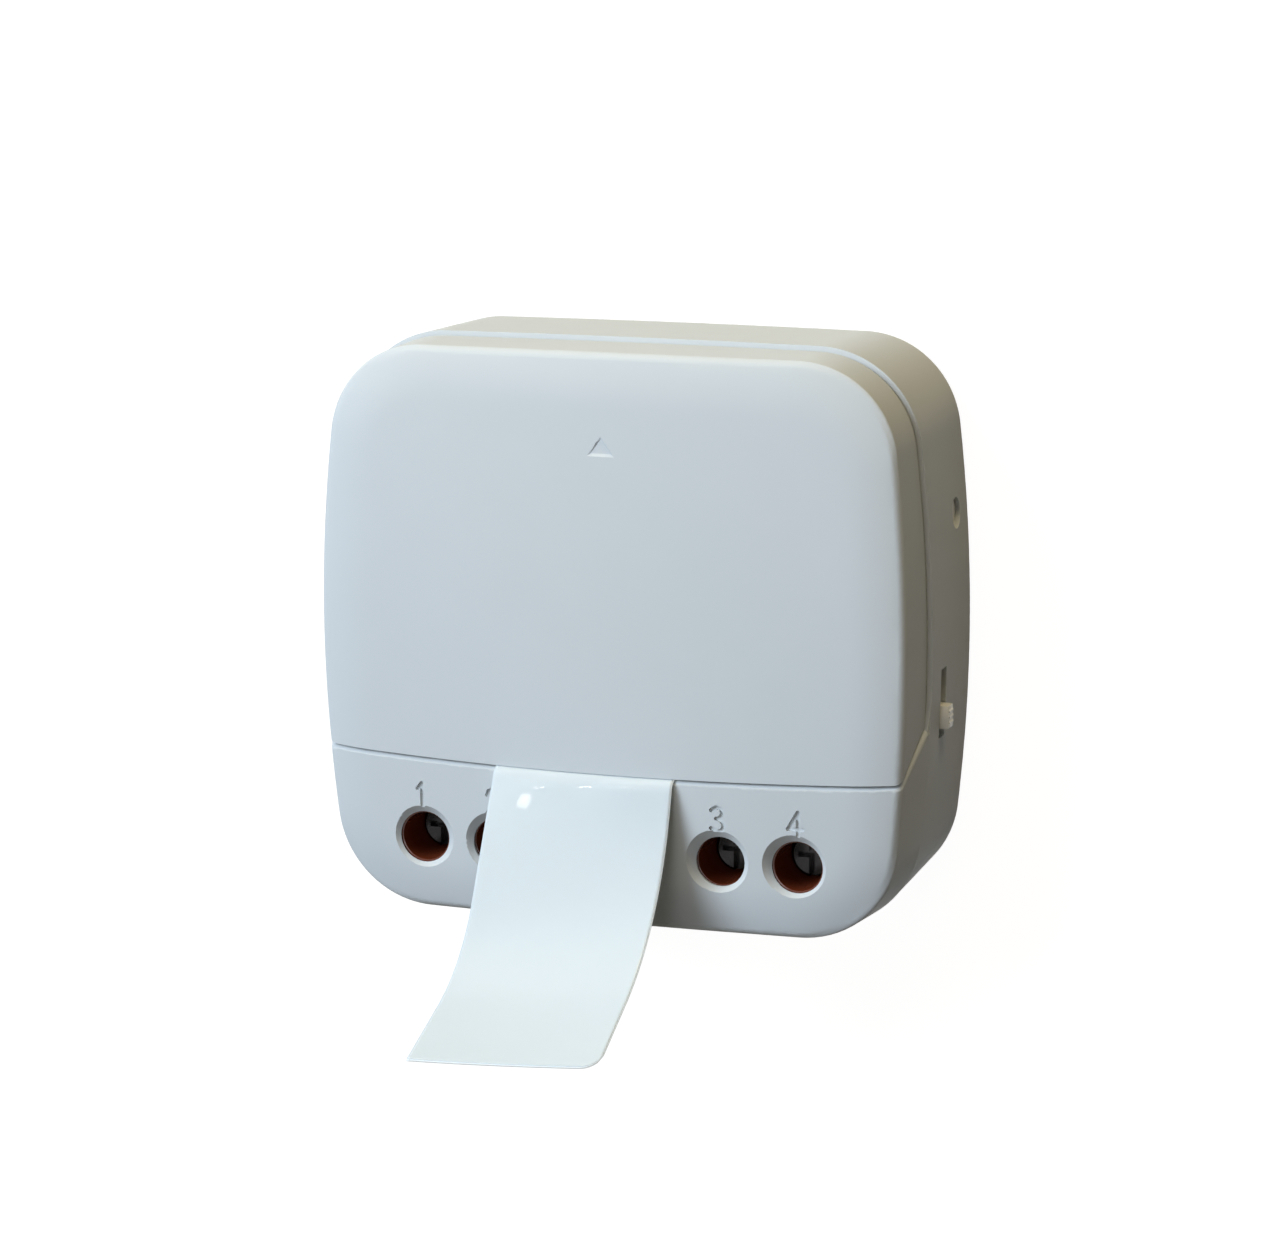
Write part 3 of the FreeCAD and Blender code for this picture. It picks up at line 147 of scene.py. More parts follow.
def surround():
    """World that is white to the camera and lights the module softly."""
    world = bpy.data.worlds.new("studio")
    bpy.context.scene.world = world
    world.use_nodes = True
    tree = world.node_tree
    ambient = tree.nodes["Background"]
    ambient.inputs["Color"].default_value = (*AMBIENT_COLOUR, 1)
    ambient.inputs["Strength"].default_value = AMBIENT_LEVEL
    white = tree.nodes.new("ShaderNodeBackground")
    white.inputs["Color"].default_value = (1, 1, 1, 1)
    white.inputs["Strength"].default_value = 1.0
    mix = tree.nodes.new("ShaderNodeMixShader")
    tree.links.new(white_for_camera(tree), mix.inputs[0])
    tree.links.new(ambient.outputs[0], mix.inputs[1])
    tree.links.new(white.outputs[0], mix.inputs[2])
    tree.links.new(mix.outputs[0], tree.nodes["World Output"].inputs["Surface"])


def pale_floor():
    """Floor that the module lies on, white to the camera but for the module's shadow."""
    mesh = bpy.data.meshes.new("pale_floor")
    corners = [(x * FLOOR_HALF, y * FLOOR_HALF, -FLOOR_GAP)
               for x, y in ((-1, -1), (1, -1), (1, 1), (-1, 1))]
    mesh.from_pydata(corners, [], [(0, 1, 2, 3)])
    floor = bpy.data.objects.new("pale_floor", mesh)
    bpy.context.scene.collection.objects.link(floor)
    paint = bpy.data.materials.new("pale_floor")
    paint.use_nodes = True
    tree = paint.node_tree
    tree.nodes.remove(tree.nodes["Principled BSDF"])
    matt = tree.nodes.new("ShaderNodeBsdfDiffuse")
    matt.inputs["Color"].default_value = (*FLOOR_COLOUR, 1)
    glow = tree.nodes.new("ShaderNodeEmission")
    glow.inputs["Color"].default_value = (1, 1, 1, 1)
    level = tree.nodes.new("ShaderNodeMath")
    level.operation = "MULTIPLY"
    level.inputs[1].default_value = FLOOR_WHITE
    tree.links.new(white_for_camera(tree), level.inputs[0])
    tree.links.new(level.outputs[0], glow.inputs["Strength"])
    both = tree.nodes.new("ShaderNodeAddShader")
    tree.links.new(matt.outputs[0], both.inputs[0])
    tree.links.new(glow.outputs[0], both.inputs[1])
    tree.links.new(both.outputs[0], tree.nodes["Material Output"].inputs["Surface"])
    mesh.materials.append(paint)


place_camera()
surround()
for lamp in LAMPS:
    soft_lamp(*lamp)
bpy.context.scene.view_settings.view_transform = "Standard"
pale_floor()


# Finishes, each read from Object coordinates so that the pattern stays on its piece.
# Noise seldom leaves this span, which is spread over the two values of each drift.
NOISE_LOW, NOISE_HIGH = 0.15, 0.85


def finish_tree(name, colour, roughness, metallic=0.0):
    """New material with its shader, and a coordinate to hang patterns on."""
    finish = bpy.data.materials.new(name)
    finish.use_nodes = True
    tree = finish.node_tree
    shader = tree.nodes["Principled BSDF"]
    shader.inputs["Base Color"].default_value = (*colour, 1)
    shader.inputs["Roughness"].default_value = roughness
    shader.inputs["Metallic"].default_value = metallic
    place = tree.nodes.new("ShaderNodeTexCoord")
    return finish, tree, shader, place.outputs["Object"]


def noise(tree, place, grain, detail=3.0):
    """Noise whose blotches are about one grain across, in metres."""
    pattern = tree.nodes.new("ShaderNodeTexNoise")
    pattern.inputs["Scale"].default_value = 1 / grain
    pattern.inputs["Detail"].default_value = detail
    tree.links.new(place, pattern.inputs["Vector"])
    return pattern.outputs["Fac"]


def mapped(tree, place, **settings):
    """Coordinate that is shifted or stretched."""
    mapping = tree.nodes.new("ShaderNodeMapping")
    for title, value in settings.items():
        mapping.inputs[title].default_value = value
    tree.links.new(place, mapping.inputs["Vector"])
    return mapping.outputs["Vector"]


def between(tree, pattern, low, high):
    """Noise spread between two values."""
    spread = tree.nodes.new("ShaderNodeMapRange")
    spread.clamp = False
    spread.inputs["From Min"].default_value = NOISE_LOW
    spread.inputs["From Max"].default_value = NOISE_HIGH
    spread.inputs["To Min"].default_value = low
    spread.inputs["To Max"].default_value = high
    tree.links.new(pattern, spread.inputs["Value"])
    return spread.outputs["Result"]


def tinted(tree, pattern, shader, colour, shade):
    """Base colour that drifts between the colour and a shade of it."""
    mix = tree.nodes.new("ShaderNodeMix")
    mix.data_type = "RGBA"
    mix.clamp_factor = False
    mix.inputs["A"].default_value = (*(part * shade for part in colour), 1)
    mix.inputs["B"].default_value = (*colour, 1)
    tree.links.new(between(tree, pattern, 0, 1), mix.inputs["Factor"])
    tree.links.new(mix.outputs["Result"], shader.inputs["Base Color"])


def glossed(tree, pattern, shader, low, high):
    """Roughness that drifts between two values."""
    tree.links.new(between(tree, pattern, low, high), shader.inputs["Roughness"])


def embossed(tree, height, shader, depth, strength=1.0):
    """Relief of a height pattern, its depth in metres."""
    relief = tree.nodes.new("ShaderNodeBump")
    relief.inputs["Distance"].default_value = depth
    relief.inputs["Strength"].default_value = strength
    tree.links.new(height, relief.inputs["Height"])
    tree.links.new(relief.outputs["Normal"], shader.inputs["Normal"])


def moulded(name, colour, roughness, grain, depth, shade=0.97, drift=0.05, shine=0.5):
    """Moulded plastic with the fine grain of its tool."""
    finish, tree, shader, place = finish_tree(name, colour, roughness)
    shader.inputs["Specular IOR Level"].default_value = shine
    tinted(tree, noise(tree, place, grain=0.004), shader, colour, shade)
    blotches = noise(tree, place, grain=0.0009)
    glossed(tree, blotches, shader, roughness - drift, roughness + drift)
    embossed(tree, noise(tree, place, grain, detail=2.0), shader, depth)
    return finish


def worked_metal(name, colour, roughness, stretch):
    """Metal with fine tool lines; stretch draws the noise out along one axis."""
    finish, tree, shader, place = finish_tree(name, colour, roughness, metallic=1.0)
    lines = noise(tree, mapped(tree, place, Scale=stretch), grain=0.00006, detail=2.0)
    tinted(tree, noise(tree, place, grain=0.002), shader, colour, shade=0.9)
    glossed(tree, lines, shader, roughness - 0.04, roughness + 0.06)
    embossed(tree, lines, shader, depth=0.0000015)
    return finish


def centre(node):
    """Middle of a CAD node's box."""
    low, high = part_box(node)
    return [(near + far) / 2 for near, far in zip(low, high)]


def turned_steel():
    """Cell steel with the faint rings of its press tool round the cell's centre."""
    colour = (0.42, 0.42, 0.41)
    finish, tree, shader, place = finish_tree("turned_steel", colour, 0.34, metallic=1.0)
    middle = centre("cell_can")
    rings = tree.nodes.new("ShaderNodeTexWave")
    rings.wave_type = "RINGS"
    rings.rings_direction = "Z"
    rings.inputs["Scale"].default_value = 1600
    rings.inputs["Distortion"].default_value = 1.2
    centred = mapped(tree, place, Location=(-middle[0], -middle[1], 0))
    tree.links.new(centred, rings.inputs["Vector"])
    tinted(tree, noise(tree, place, grain=0.003), shader, colour, shade=0.88)
    glossed(tree, noise(tree, place, grain=0.0006), shader, 0.30, 0.40)
    embossed(tree, rings.outputs["Fac"], shader, depth=0.000003, strength=0.6)
    return finish


def solder_mask():
    """Green board lacquer with copper tracks under it."""
    colour = (0.012, 0.10, 0.04)
    finish, tree, shader, place = finish_tree("solder_mask", colour, 0.3)
    tracks = tree.nodes.new("ShaderNodeTexBrick")
    tracks.inputs["Scale"].default_value = 260
    tracks.inputs["Mortar Size"].default_value = 0.03
    tracks.inputs["Color1"].default_value = (*colour, 1)
    tracks.inputs["Color2"].default_value = (0.010, 0.085, 0.035, 1)
    tracks.inputs["Mortar"].default_value = (0.03, 0.19, 0.08, 1)
    tree.links.new(place, tracks.inputs["Vector"])
    tree.links.new(tracks.outputs["Color"], shader.inputs["Base Color"])
    glossed(tree, noise(tree, place, grain=0.001), shader, 0.26, 0.36)
    embossed(tree, tracks.outputs["Fac"], shader, depth=0.00003)
    return finish


def milky_film():
    """Glossy milky film with faint roller marks along it."""
    colour = (0.625, 0.70, 0.742)
    finish, tree, shader, place = finish_tree("milky_film", colour, 0.31)
    shader.inputs["Subsurface Weight"].default_value = 0.25
    shader.inputs["Subsurface Radius"].default_value = (0.0012, 0.0013, 0.0014)
    shader.inputs["Subsurface Scale"].default_value = 0.5
    shader.inputs["Specular IOR Level"].default_value = 0.3
    shader.inputs["Coat Weight"].default_value = 0.25
    shader.inputs["Coat Roughness"].default_value = 0.03
    tinted(tree, noise(tree, place, grain=0.012, detail=0.0), shader, colour, shade=0.99)
    glossed(tree, noise(tree, place, grain=0.007, detail=0.0), shader, 0.295, 0.325)
    rolled = mapped(tree, place, Scale=(1.0, 0.06, 0.06))
    embossed(tree, noise(tree, rolled, grain=0.0011, detail=1.0), shader, depth=0.000005)
    return finish


def film_edge():
    """Cut edge of the film, with a painted glow standing in for the light that the sheet carries to
    its edge.
    """
    colour = (0.78, 0.84, 0.85)
    finish, tree, shader, place = finish_tree("film_edge", colour, 0.4)
    # Painted glow: the cut edge emits light, though it is no lamp
    shader.inputs["Emission Strength"].default_value = 0.4
    shader.inputs["Emission Color"].default_value = (*colour, 1)
    tinted(tree, noise(tree, place, grain=0.0015), shader, colour, shade=0.94)
    return finish


# Plastics by colour, roughness, grain and depth of the grain; metals by colour, roughness, stretch
FINISHES = {
    "case_white": moulded("case_plastic", (0.63, 0.66, 0.665), 0.50, 0.00012, 0.000004,
                          shade=0.98, shine=0.03),
    "board_green": solder_mask(),
    "cell_steel": turned_steel(),
    "seal_black": moulded("seal_rubber", (0.02, 0.02, 0.02), 0.6, 0.0002, 0.00001),
    "spring_contact": worked_metal("spring_nickel", (0.46, 0.43, 0.37), 0.26, (1, 12, 1)),
    "tab_film": milky_film(),
    "film_edge": film_edge(),
    # The terminals' own orange, darkened as painted shade for the insides of the access wells
    "terminal_orange": moulded("terminal_plastic", (0.13, 0.027, 0.010), 0.19, 0.0002, 0.000004,
                               shade=0.85),
    "switch_black": moulded("switch_plastic", (0.02, 0.02, 0.021), 0.42, 0.0001, 0.000005,
                            shade=0.8),
    "switch_sheet": worked_metal("tinned_sheet", (0.62, 0.62, 0.60), 0.32, (12, 1, 1)),
    # The knob's own ivory, lightened as painted light for the light that its face catches
    "knob_ivory": moulded("knob_plastic", (0.84, 0.82, 0.74), 0.38, 0.0001, 0.000004),
    "chip_black": moulded("chip_resin", (0.014, 0.014, 0.015), 0.55, 0.00006, 0.000008,
                          shade=0.7),
    "antenna_ceramic": moulded("antenna_ceramic", (0.62, 0.60, 0.52), 0.34, 0.0001, 0.000005,
                               shade=0.9),
    "led_clear": moulded("lamp_resin", (0.74, 0.73, 0.62), 0.12, 0.0003, 0.000003,
                         shade=0.95, drift=0.03),
    "capacitor_tan": moulded("capacitor_ceramic", (0.42, 0.30, 0.18), 0.36, 0.0001, 0.000005,
                             shade=0.85),
    # Screw steel darkened to near black: painted shade for the depth of the access wells
    "screw_steel": worked_metal("burnished_steel", (0.045, 0.043, 0.042), 0.16, (1, 1, 10)),
    "cage_steel": worked_metal("nickel_steel", (0.62, 0.60, 0.55), 0.22, (1, 10, 1)),
    "bar_brass": worked_metal("tinned_brass", (0.66, 0.56, 0.33), 0.27, (1, 10, 1)),
}

for part in frame["record"]["subparts"]:
    materials = bpy.data.objects[part["node"]].data.materials
    materials.clear()
    materials.append(FINISHES[part["material_slot"]])


# Pieces: a finished mesh that rides on a body, and helpers that make such meshes
BODY_OF = {node: body for body, nodes in frame["record"]["behaviour"]["bodies"].items()
           for node in nodes}
SLOT_OF = {part["node"]: part["material_slot"] for part in frame["record"]["subparts"]}
MERGE_WITHIN = 0.001
FLAT_DEGREES = 0.5
SHARP_DEGREES = 30
EASED_DEGREES = 42


def piece(name, mesh, body, slot, *nodes, others=()):
    """Object of the module from a finished mesh, riding on a body and standing for CAD nodes."""
    if not mesh.materials:
        mesh.materials.append(FINISHES[slot])
    for other in others:
        mesh.materials.append(FINISHES[other])
    made = bpy.data.objects.new(name, mesh)
    bpy.context.scene.collection.objects.link(made)
    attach(made, body)
    if nodes:
        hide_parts(*nodes)
    return made


def smooth_by_angle(mesh, degrees):
    """Smooth faces, with every edge sharper than the angle left crisp."""
    for face in mesh.polygons:
        face.use_smooth = True
    mesh.set_sharp_from_angle(angle=math.radians(degrees))


def merged(node):
    """Copy of a CAD node's points and triangles, joined into one skin."""
    source = bpy.data.objects[node].data
    plain = bpy.data.meshes.new(node + "_plain")
    plain.from_pydata([point.co for point in source.vertices], [],
                      [tuple(face.vertices) for face in source.polygons])
    mesh = bmesh.new()
    mesh.from_mesh(plain)
    bpy.data.meshes.remove(plain)
    bmesh.ops.remove_doubles(mesh, verts=mesh.verts, dist=MERGE_WITHIN * MM)
    return mesh


def sharp_edges(mesh):
    """Edges where two faces meet at a clear angle."""
    limit = math.radians(SHARP_DEGREES)
    return [edge for edge in mesh.edges
            if len(edge.link_faces) == 2 and edge.calc_face_angle(0) > limit]


def eased_mesh(node, width):
    """Copy of a CAD node with its sharp edges rounded to a width in millimetres."""
    mesh = merged(node)
    bmesh.ops.dissolve_limit(mesh, angle_limit=math.radians(FLAT_DEGREES), verts=mesh.verts,
                             edges=mesh.edges)
    bmesh.ops.bevel(mesh, geom=sharp_edges(mesh), offset=width * MM, offset_type="OFFSET",
                    segments=2, profile=0.5, affect="EDGES", clamp_overlap=True)
    finished = bpy.data.meshes.new(node + "_eased")
    mesh.to_mesh(finished)
    mesh.free()
    smooth_by_angle(finished, EASED_DEGREES)
    return finished


# Geometry trees: each has named inputs for its sizes, in metres
def form_tree(name, **inputs):
    """Geometry tree with named inputs and a mesh output, and the sockets of its inputs."""
    tree = bpy.data.node_groups.new(name, "GeometryNodeTree")
    tree.interface.new_socket("Mesh", in_out="OUTPUT", socket_type="NodeSocketGeometry")
    for title, kind in inputs.items():
        tree.interface.new_socket(title.replace("_", " "), in_out="INPUT",
                                  socket_type="NodeSocket" + kind)
    return tree, tree.nodes.new("NodeGroupInput").outputs


def step(tree, kind, inputs=None, **settings):
    """Node with its settings, and its inputs given as sockets to link or as plain values."""
    node = tree.nodes.new(kind)
    for key, value in settings.items():
        setattr(node, key, value)
    for key, value in (inputs or {}).items():
        if isinstance(value, bpy.types.NodeSocket):
            tree.links.new(value, node.inputs[key])
        else:
            node.inputs[key].default_value = value
    return node


def reckon(tree, operation, *values):
    """Result of one sum on sockets and plain numbers."""
    return step(tree, "ShaderNodeMath", dict(enumerate(values)), operation=operation).outputs[0]


def ramp(tree, value, start, end):
    """0 up to the start, 1 past the end and even in between; both are in millimetres."""
    return step(tree, "ShaderNodeMapRange",
                {"Value": value, "From Min": start * MM, "From Max": end * MM}).outputs["Result"]


def position(tree):
    """Coordinates X, Y and Z of each point."""
    here = step(tree, "GeometryNodeInputPosition").outputs[0]
    return step(tree, "ShaderNodeSeparateXYZ", {"Vector": here}).outputs


def point(tree, x=0.0, y=0.0, z=0.0):
    """Vector of three numbers or sockets."""
    return step(tree, "ShaderNodeCombineXYZ", {"X": x, "Y": y, "Z": z}).outputs[0]


def cylinder(tree, radius, depth, sides, rings, caps):
    """Upright cylinder with its sides and both caps cut into rings."""
    return step(tree, "GeometryNodeMeshCylinder",
                {"Vertices": sides, "Side Segments": rings, "Fill Segments": caps,
                 "Radius": radius, "Depth": depth}).outputs["Mesh"]


def drawn_in(tree, mesh, here, share, level):
    """Mesh whose points, each at a level, keep only a share of their distance to the Z axis."""
    place = point(tree, reckon(tree, "MULTIPLY", here["X"], share),
                  reckon(tree, "MULTIPLY", here["Y"], share), level)
    return step(tree, "GeometryNodeSetPosition",
                {"Geometry": mesh, "Position": place}).outputs["Geometry"]


def joined(tree, first, second):
    """One mesh of two."""
    both = step(tree, "GeometryNodeJoinGeometry", {"Geometry": first})
    tree.links.new(second, both.inputs["Geometry"])
    return both.outputs["Geometry"]


def end_tree(tree, mesh, slot):
    """Last steps of a tree: instances made real, and the finish."""
    real = step(tree, "GeometryNodeRealizeInstances", {"Geometry": mesh})
    dressed = step(tree, "GeometryNodeSetMaterial",
                   {"Geometry": real.outputs["Geometry"], "Material": FINISHES[slot]})
    step(tree, "NodeGroupOutput", {"Mesh": dressed.outputs["Geometry"]})
    return tree


def grown(name, tree, start=None, **values):
    """Plain mesh of a tree's result for the values of its named inputs."""
    holder = bpy.data.objects.new(name, start or bpy.data.meshes.new(name + "_start"))
    bpy.context.scene.collection.objects.link(holder)
    form = holder.modifiers.new("form", "NODES")
    form.node_group = tree
    for socket in tree.interface.items_tree:
        title = socket.name.replace(" ", "_")
        if socket.in_out == "INPUT" and title in values:
            form[socket.identifier] = values[title]
    depsgraph = bpy.context.evaluated_depsgraph_get()
    mesh = bpy.data.meshes.new_from_object(holder.evaluated_get(depsgraph), depsgraph=depsgraph)
    bpy.data.objects.remove(holder)
    mesh.name = name
    return mesh


# Pull tab: a film between two edge routes, the same routes as in the CAD model.
# It runs from under the cell through the seam, folds over its lip and hangs down the front
SEAM_SLOPE = 0.6
RISE = math.pi / 2 - math.atan(SEAM_SLOPE)
FILM_THICKNESS = 0.15
FILM_SIDES = (-7.21, 4.69)
FILM_TUCK = 14.0
FILM_BEND = 0.8
FILM_FOLD = 0.5
FILM_LEVEL = 13.975
FOLD_LEVEL = 16.2825
FILM_START = 7.336
FILM_LENGTH = 38.9
FILM_IN_SEAM = 2.2
FILM_HIDDEN = FILM_TUCK + FILM_BEND * RISE + FILM_IN_SEAM
# Angle at the seam in degrees, first run, radius of the curl, angle of the tip, last run
LEFT_HANG = (28.3, 8.3, 11.2, 69.0, 5.5)
RIGHT_HANG = (15.9, 1.5, 16.4, 62.3, 5.6)
ROUTE_STEP = 0.25
FILM_GRID = (65, 151)
TIP_ROUND = 1.2
TIP_SHARE = 0.15
# Crumple: its height, where past the seam it sets in, the length over which it dies away, and the
# start and sweep of its two waves across the film in radians
CRUMPLE = 0.09
CRUMPLE_FROM = (0.3, 1.0)
CRUMPLE_FADE = 1.0
WAVE_START = -1.8
WAVE_SWEEP = 12.57
# Bow across the film: its height, and where past the seam it sets in
BOW = 0.10
BOW_FROM = (0.4, 8.4)


def film_route(hang):
    """Runs of (length, turn, radius) from the hidden end to the tip, in mm and radians."""
    angle, first_run, curl, last_angle, last_run = hang
    angle, last_angle = math.radians(angle), math.radians(last_angle)
    bend_end = FILM_LEVEL + FILM_BEND * (1 - math.cos(RISE))
    in_seam = (FOLD_LEVEL - bend_end) / math.sin(RISE)
    return [(FILM_TUCK, 0, 0), (0, -RISE, FILM_BEND), (in_seam, 0, 0),
            (0, RISE - angle, FILM_FOLD), (first_run, 0, 0), (0, angle - last_angle, curl),
            (last_run, 0, 0)]


def edge_route(name, hang):
    """One edge of the film as a fine curve of straight steps."""
    y, z, heading = FILM_START, FILM_LEVEL, math.pi
    points = [(y, z)]
    for length, turn, radius in film_route(hang):
        steps = max(3, round((length or abs(turn) * radius) / ROUTE_STEP))
        for _ in range(steps):
            middle = heading + turn / steps / 2
            reach = 2 * radius * math.sin(abs(turn) / steps / 2) if turn else length / steps
            heading += turn / steps
            y += math.cos(middle) * reach
            z += math.sin(middle) * reach
            points.append((y, z))
    curve = bpy.data.curves.new(name, "CURVE")
    curve.dimensions = "3D"
    spline = curve.splines.new("POLY")
    spline.points.add(len(points) - 1)
    for spline_point, (y, z) in zip(spline.points, points):
        spline_point.co = (0, y * MM, z * MM, 1)
    edge = bpy.data.objects.new(name, curve)
    bpy.context.scene.collection.objects.link(edge)
    return edge


def film_tree():
    """Grid laid between two edge curves, cut round at one tip corner and lightly crumpled."""
    tree, given = form_tree("film_form", Left_Edge="Object", Right_Edge="Object",
                            Left_Side="Float", Right_Side="Float", Length="Float",
                            Hidden="Float", Tip_Round="Float", Crumple="Float", Bow="Float")
    grid = step(tree, "GeometryNodeMeshGrid",
                {"Size X": 1.0, "Size Y": 1.0,
                 "Vertices X": FILM_GRID[0], "Vertices Y": FILM_GRID[1]})
    here = position(tree)
    across = reckon(tree, "ADD", here["X"], 0.5)
    share = reckon(tree, "ADD", here["Y"], 0.5)

    # Rounded tip corner: near the right-hand edge the last part of the film is a little shorter
    width = reckon(tree, "SUBTRACT", given["Right Side"], given["Left Side"])
    to_right = reckon(tree, "SUBTRACT", 1.0, across)
    from_edge = reckon(tree, "MULTIPLY", to_right, width)
    tip = given["Tip Round"]
    short = reckon(tree, "MAXIMUM", reckon(tree, "SUBTRACT", tip, from_edge), 0.0)
    rest = reckon(tree, "SQRT", reckon(tree, "SUBTRACT", reckon(tree, "MULTIPLY", tip, tip),
                                       reckon(tree, "MULTIPLY", short, short)))
    cut = reckon(tree, "DIVIDE", reckon(tree, "SUBTRACT", tip, rest), given["Length"])
    to_tip = reckon(tree, "DIVIDE", reckon(tree, "SUBTRACT", share, 1 - TIP_SHARE), TIP_SHARE)
    near_tip = reckon(tree, "MAXIMUM", to_tip, 0.0)
    share = reckon(tree, "SUBTRACT", share, reckon(tree, "MULTIPLY", cut, near_tip))

    # Height off the smooth film: the crumple, which dies away from the seam, and the bow
    along = reckon(tree, "MULTIPLY", share, given["Length"])
    outside = reckon(tree, "SUBTRACT", along, given["Hidden"])
    dying = reckon(tree, "EXPONENT", reckon(tree, "DIVIDE", outside, -CRUMPLE_FADE * MM))
    wave = reckon(tree, "SINE", reckon(tree, "MULTIPLY_ADD", across, WAVE_SWEEP, WAVE_START))
    crumple = reckon(tree, "MULTIPLY", reckon(tree, "MULTIPLY", wave, given["Crumple"]),
                     reckon(tree, "MULTIPLY", ramp(tree, outside, *CRUMPLE_FROM), dying))
    middle = reckon(tree, "MULTIPLY", reckon(tree, "MULTIPLY", across, to_right), 4.0)
    bow = reckon(tree, "MULTIPLY",
                 reckon(tree, "MULTIPLY", middle, ramp(tree, outside, *BOW_FROM)), given["Bow"])
    lift = reckon(tree, "SUBTRACT", crumple, bow)

    # Place on the two edge curves, mixed across the film, and lifted off its surface
    places, headings = [], []
    for edge in ("Left Edge", "Right Edge"):
        curve = step(tree, "GeometryNodeObjectInfo", {"Object": given[edge]}).outputs["Geometry"]
        sample = step(tree, "GeometryNodeSampleCurve", {"Curves": curve, "Factor": share},
                      use_all_curves=True)
        places.append(sample.outputs["Position"])
        headings.append(sample.outputs["Tangent"])
    place, heading = (step(tree, "ShaderNodeMix", {"Factor": across, 4: left, 5: right},
                           data_type="VECTOR").outputs[1] for left, right in (places, headings))
    outward = step(tree, "ShaderNodeVectorMath", {0: heading, 1: (1.0, 0.0, 0.0)},
                   operation="CROSS_PRODUCT").outputs[0]
    raised = step(tree, "ShaderNodeVectorMath", {0: outward, "Scale": lift},
                  operation="SCALE").outputs[0]
    aside = point(tree, reckon(tree, "MULTIPLY_ADD", across, width, given["Left Side"]))
    for shift in (raised, aside):
        place = step(tree, "ShaderNodeVectorMath", {0: place, 1: shift},
                     operation="ADD").outputs[0]
    laid = step(tree, "GeometryNodeSetPosition",
                {"Geometry": grid.outputs["Mesh"], "Position": place})
    return end_tree(tree, laid.outputs["Geometry"], "tab_film")


def pull_tab_film():
    """Film piece with its thickness, standing for the CAD pull tab."""
    edges = [edge_route("left_edge", LEFT_HANG), edge_route("right_edge", RIGHT_HANG)]
    mesh = grown("film_sheet", film_tree(), Left_Edge=edges[0], Right_Edge=edges[1],
                 Left_Side=FILM_SIDES[0] * MM, Right_Side=FILM_SIDES[1] * MM,
                 Length=FILM_LENGTH * MM, Hidden=FILM_HIDDEN * MM, Tip_Round=TIP_ROUND * MM,
                 Crumple=CRUMPLE * MM, Bow=BOW * MM)
    for edge in edges:
        bpy.data.objects.remove(edge)
    for face in mesh.polygons:
        face.use_smooth = True
    film = piece("film_sheet", mesh, "module", "tab_film", "pull_tab", others=("film_edge",))
    wall = film.modifiers.new("thickness", "SOLIDIFY")
    wall.thickness = FILM_THICKNESS * MM
    wall.offset = 0
    # The rim takes the edge finish with its painted glow
    wall.material_offset_rim = 1


pull_tab_film()


# Terminal screws with a rolled thread and a crossed slot; the shank laps into the head
TERMINALS = range(1, 5)
HEAD_HEIGHT = 1.2
SHANK_LAP = 0.05
SCREW_SIZES = {"Head_Radius": 1.48, "Head_Height": HEAD_HEIGHT, "Head_Edge": 0.2,
               "Thread_Radius": 1.25, "Thread_Depth": 0.22, "Thread_Pitch": 0.45,
               "Slot_Half": 0.28, "Cross_Half": 0.2, "Cross_Reach": 1.0}


